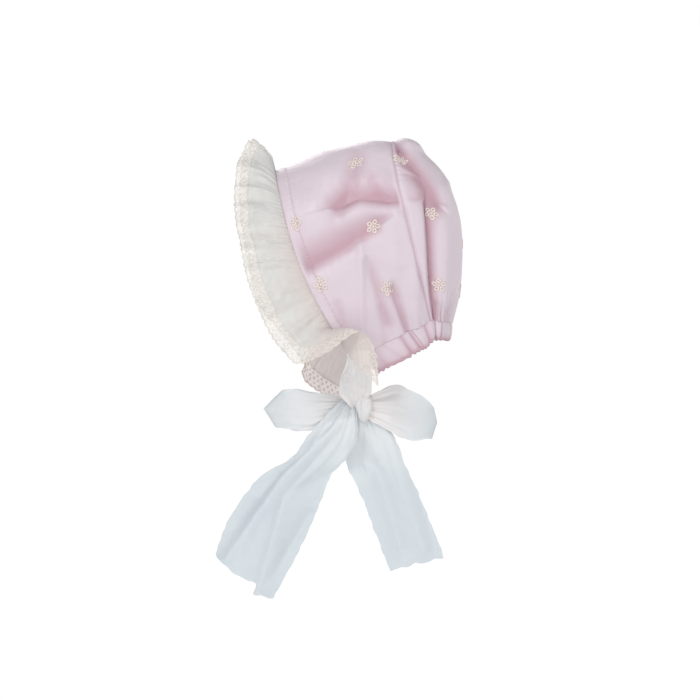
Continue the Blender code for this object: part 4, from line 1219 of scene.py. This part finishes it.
def glowMaterial(name, base, rough, gloss, upright, ramp):  # its glow changes with height or with reach
    material = bpy.data.materials.new(name)
    material.use_nodes = True
    tree = material.node_tree
    shader = tree.nodes["Principled BSDF"]
    shader.inputs["Base Color"].default_value = (base, base, base, 1)
    shader.inputs["Roughness"].default_value = rough
    shader.inputs["Specular IOR Level"].default_value = gloss
    shader.inputs["Emission Color"].default_value = (1, 1, 1, 1)
    place = tree.nodes.new("ShaderNodeTexCoord")
    measure = tree.nodes.new("ShaderNodeSeparateXYZ" if upright else "ShaderNodeVectorMath")
    if not upright:
        measure.operation = "LENGTH"
    tree.links.new(place.outputs["Object"], measure.inputs[0])
    fade = tree.nodes.new("ShaderNodeMapRange")
    fade.interpolation_type = "SMOOTHSTEP"
    tree.links.new(measure.outputs["Z" if upright else "Value"], fade.inputs["Value"])
    for label, value in zip(("From Min", "From Max", "To Min", "To Max"), ramp):
        fade.inputs[label].default_value = value
    tree.links.new(fade.outputs["Result"], shader.inputs["Emission Strength"])
    return material


def ringsOf(profile):  # a grid of points turned about the upright axis from (round, height) pairs
    turns = np.linspace(0, 2 * math.pi, 65)[:-1]
    rings = [[(r * math.cos(t), r * math.sin(t), z + studio["floor"]) for t in turns] for r, z in profile]
    return np.array(rings)


def makeBackdrop():
    profile = [(studio["floorRound"], 0.0)]
    for k in range(1, 9):
        turn = k / 8 * math.pi / 2
        out = studio["floorRound"] + studio["corner"] * math.sin(turn)
        profile.append((out, studio["corner"] * (1 - math.cos(turn))))
    profile.append((studio["floorRound"] + studio["corner"], studio["wall"]))
    points = ringsOf(profile)
    sweep = gridObject("backdrop", points, points[..., :2], wrap=True, flip=True)
    points = ringsOf(((0.001, 0.0), (studio["floorRound"], 0.0)))
    disc = gridObject("studioFloor", points, points[..., :2], wrap=True)
    sweep.data.materials.append(glowMaterial("paleWall", 0.05, 1, 0, True, studio["glow"]))
    disc.data.materials.append(glowMaterial("paleFloor", 0.3, 0.9, 0.1, False, studio["floorGlow"]))


def areaLight(name, place, size, power):
    data = bpy.data.lights.new(name, "AREA")
    data.size = size
    data.energy = power
    lamp = bpy.data.objects.new(name, data)
    bpy.context.scene.collection.objects.link(lamp)
    lamp.location = place
    way = np.array(studio["aim"]) - np.array(place)
    lamp.rotation_euler = Vector(way).to_track_quat("-Z", "Y").to_euler()


makeBackdrop()
scene = bpy.context.scene
world = bpy.data.worlds.new("studioSky")
world.use_nodes = True
world.node_tree.nodes["Background"].inputs[0].default_value = (1, 1, 1, 1)
world.node_tree.nodes["Background"].inputs[1].default_value = studio["sky"]
scene.world = world
for name, place, size, power in studio["lamps"]:
    areaLight(name, place, size, power)
scene.view_settings.view_transform = "Standard"
scene.view_settings.look = "None"

cameraData = bpy.data.cameras.new("camera")
cameraData.lens = studio["lens"]
cameraData.sensor_width = studio["sensor"]
camera = bpy.data.objects.new("camera", cameraData)
scene.collection.objects.link(camera)
distance = studio["frameWidth"] / (studio["sensor"] / studio["lens"])
camera.location = (studio["aim"][0], studio["aim"][1] - distance, studio["aim"][2])
camera.rotation_euler = (math.pi / 2, 0, 0)
cameraData.clip_end = 50
scene.camera = camera
print("studio")
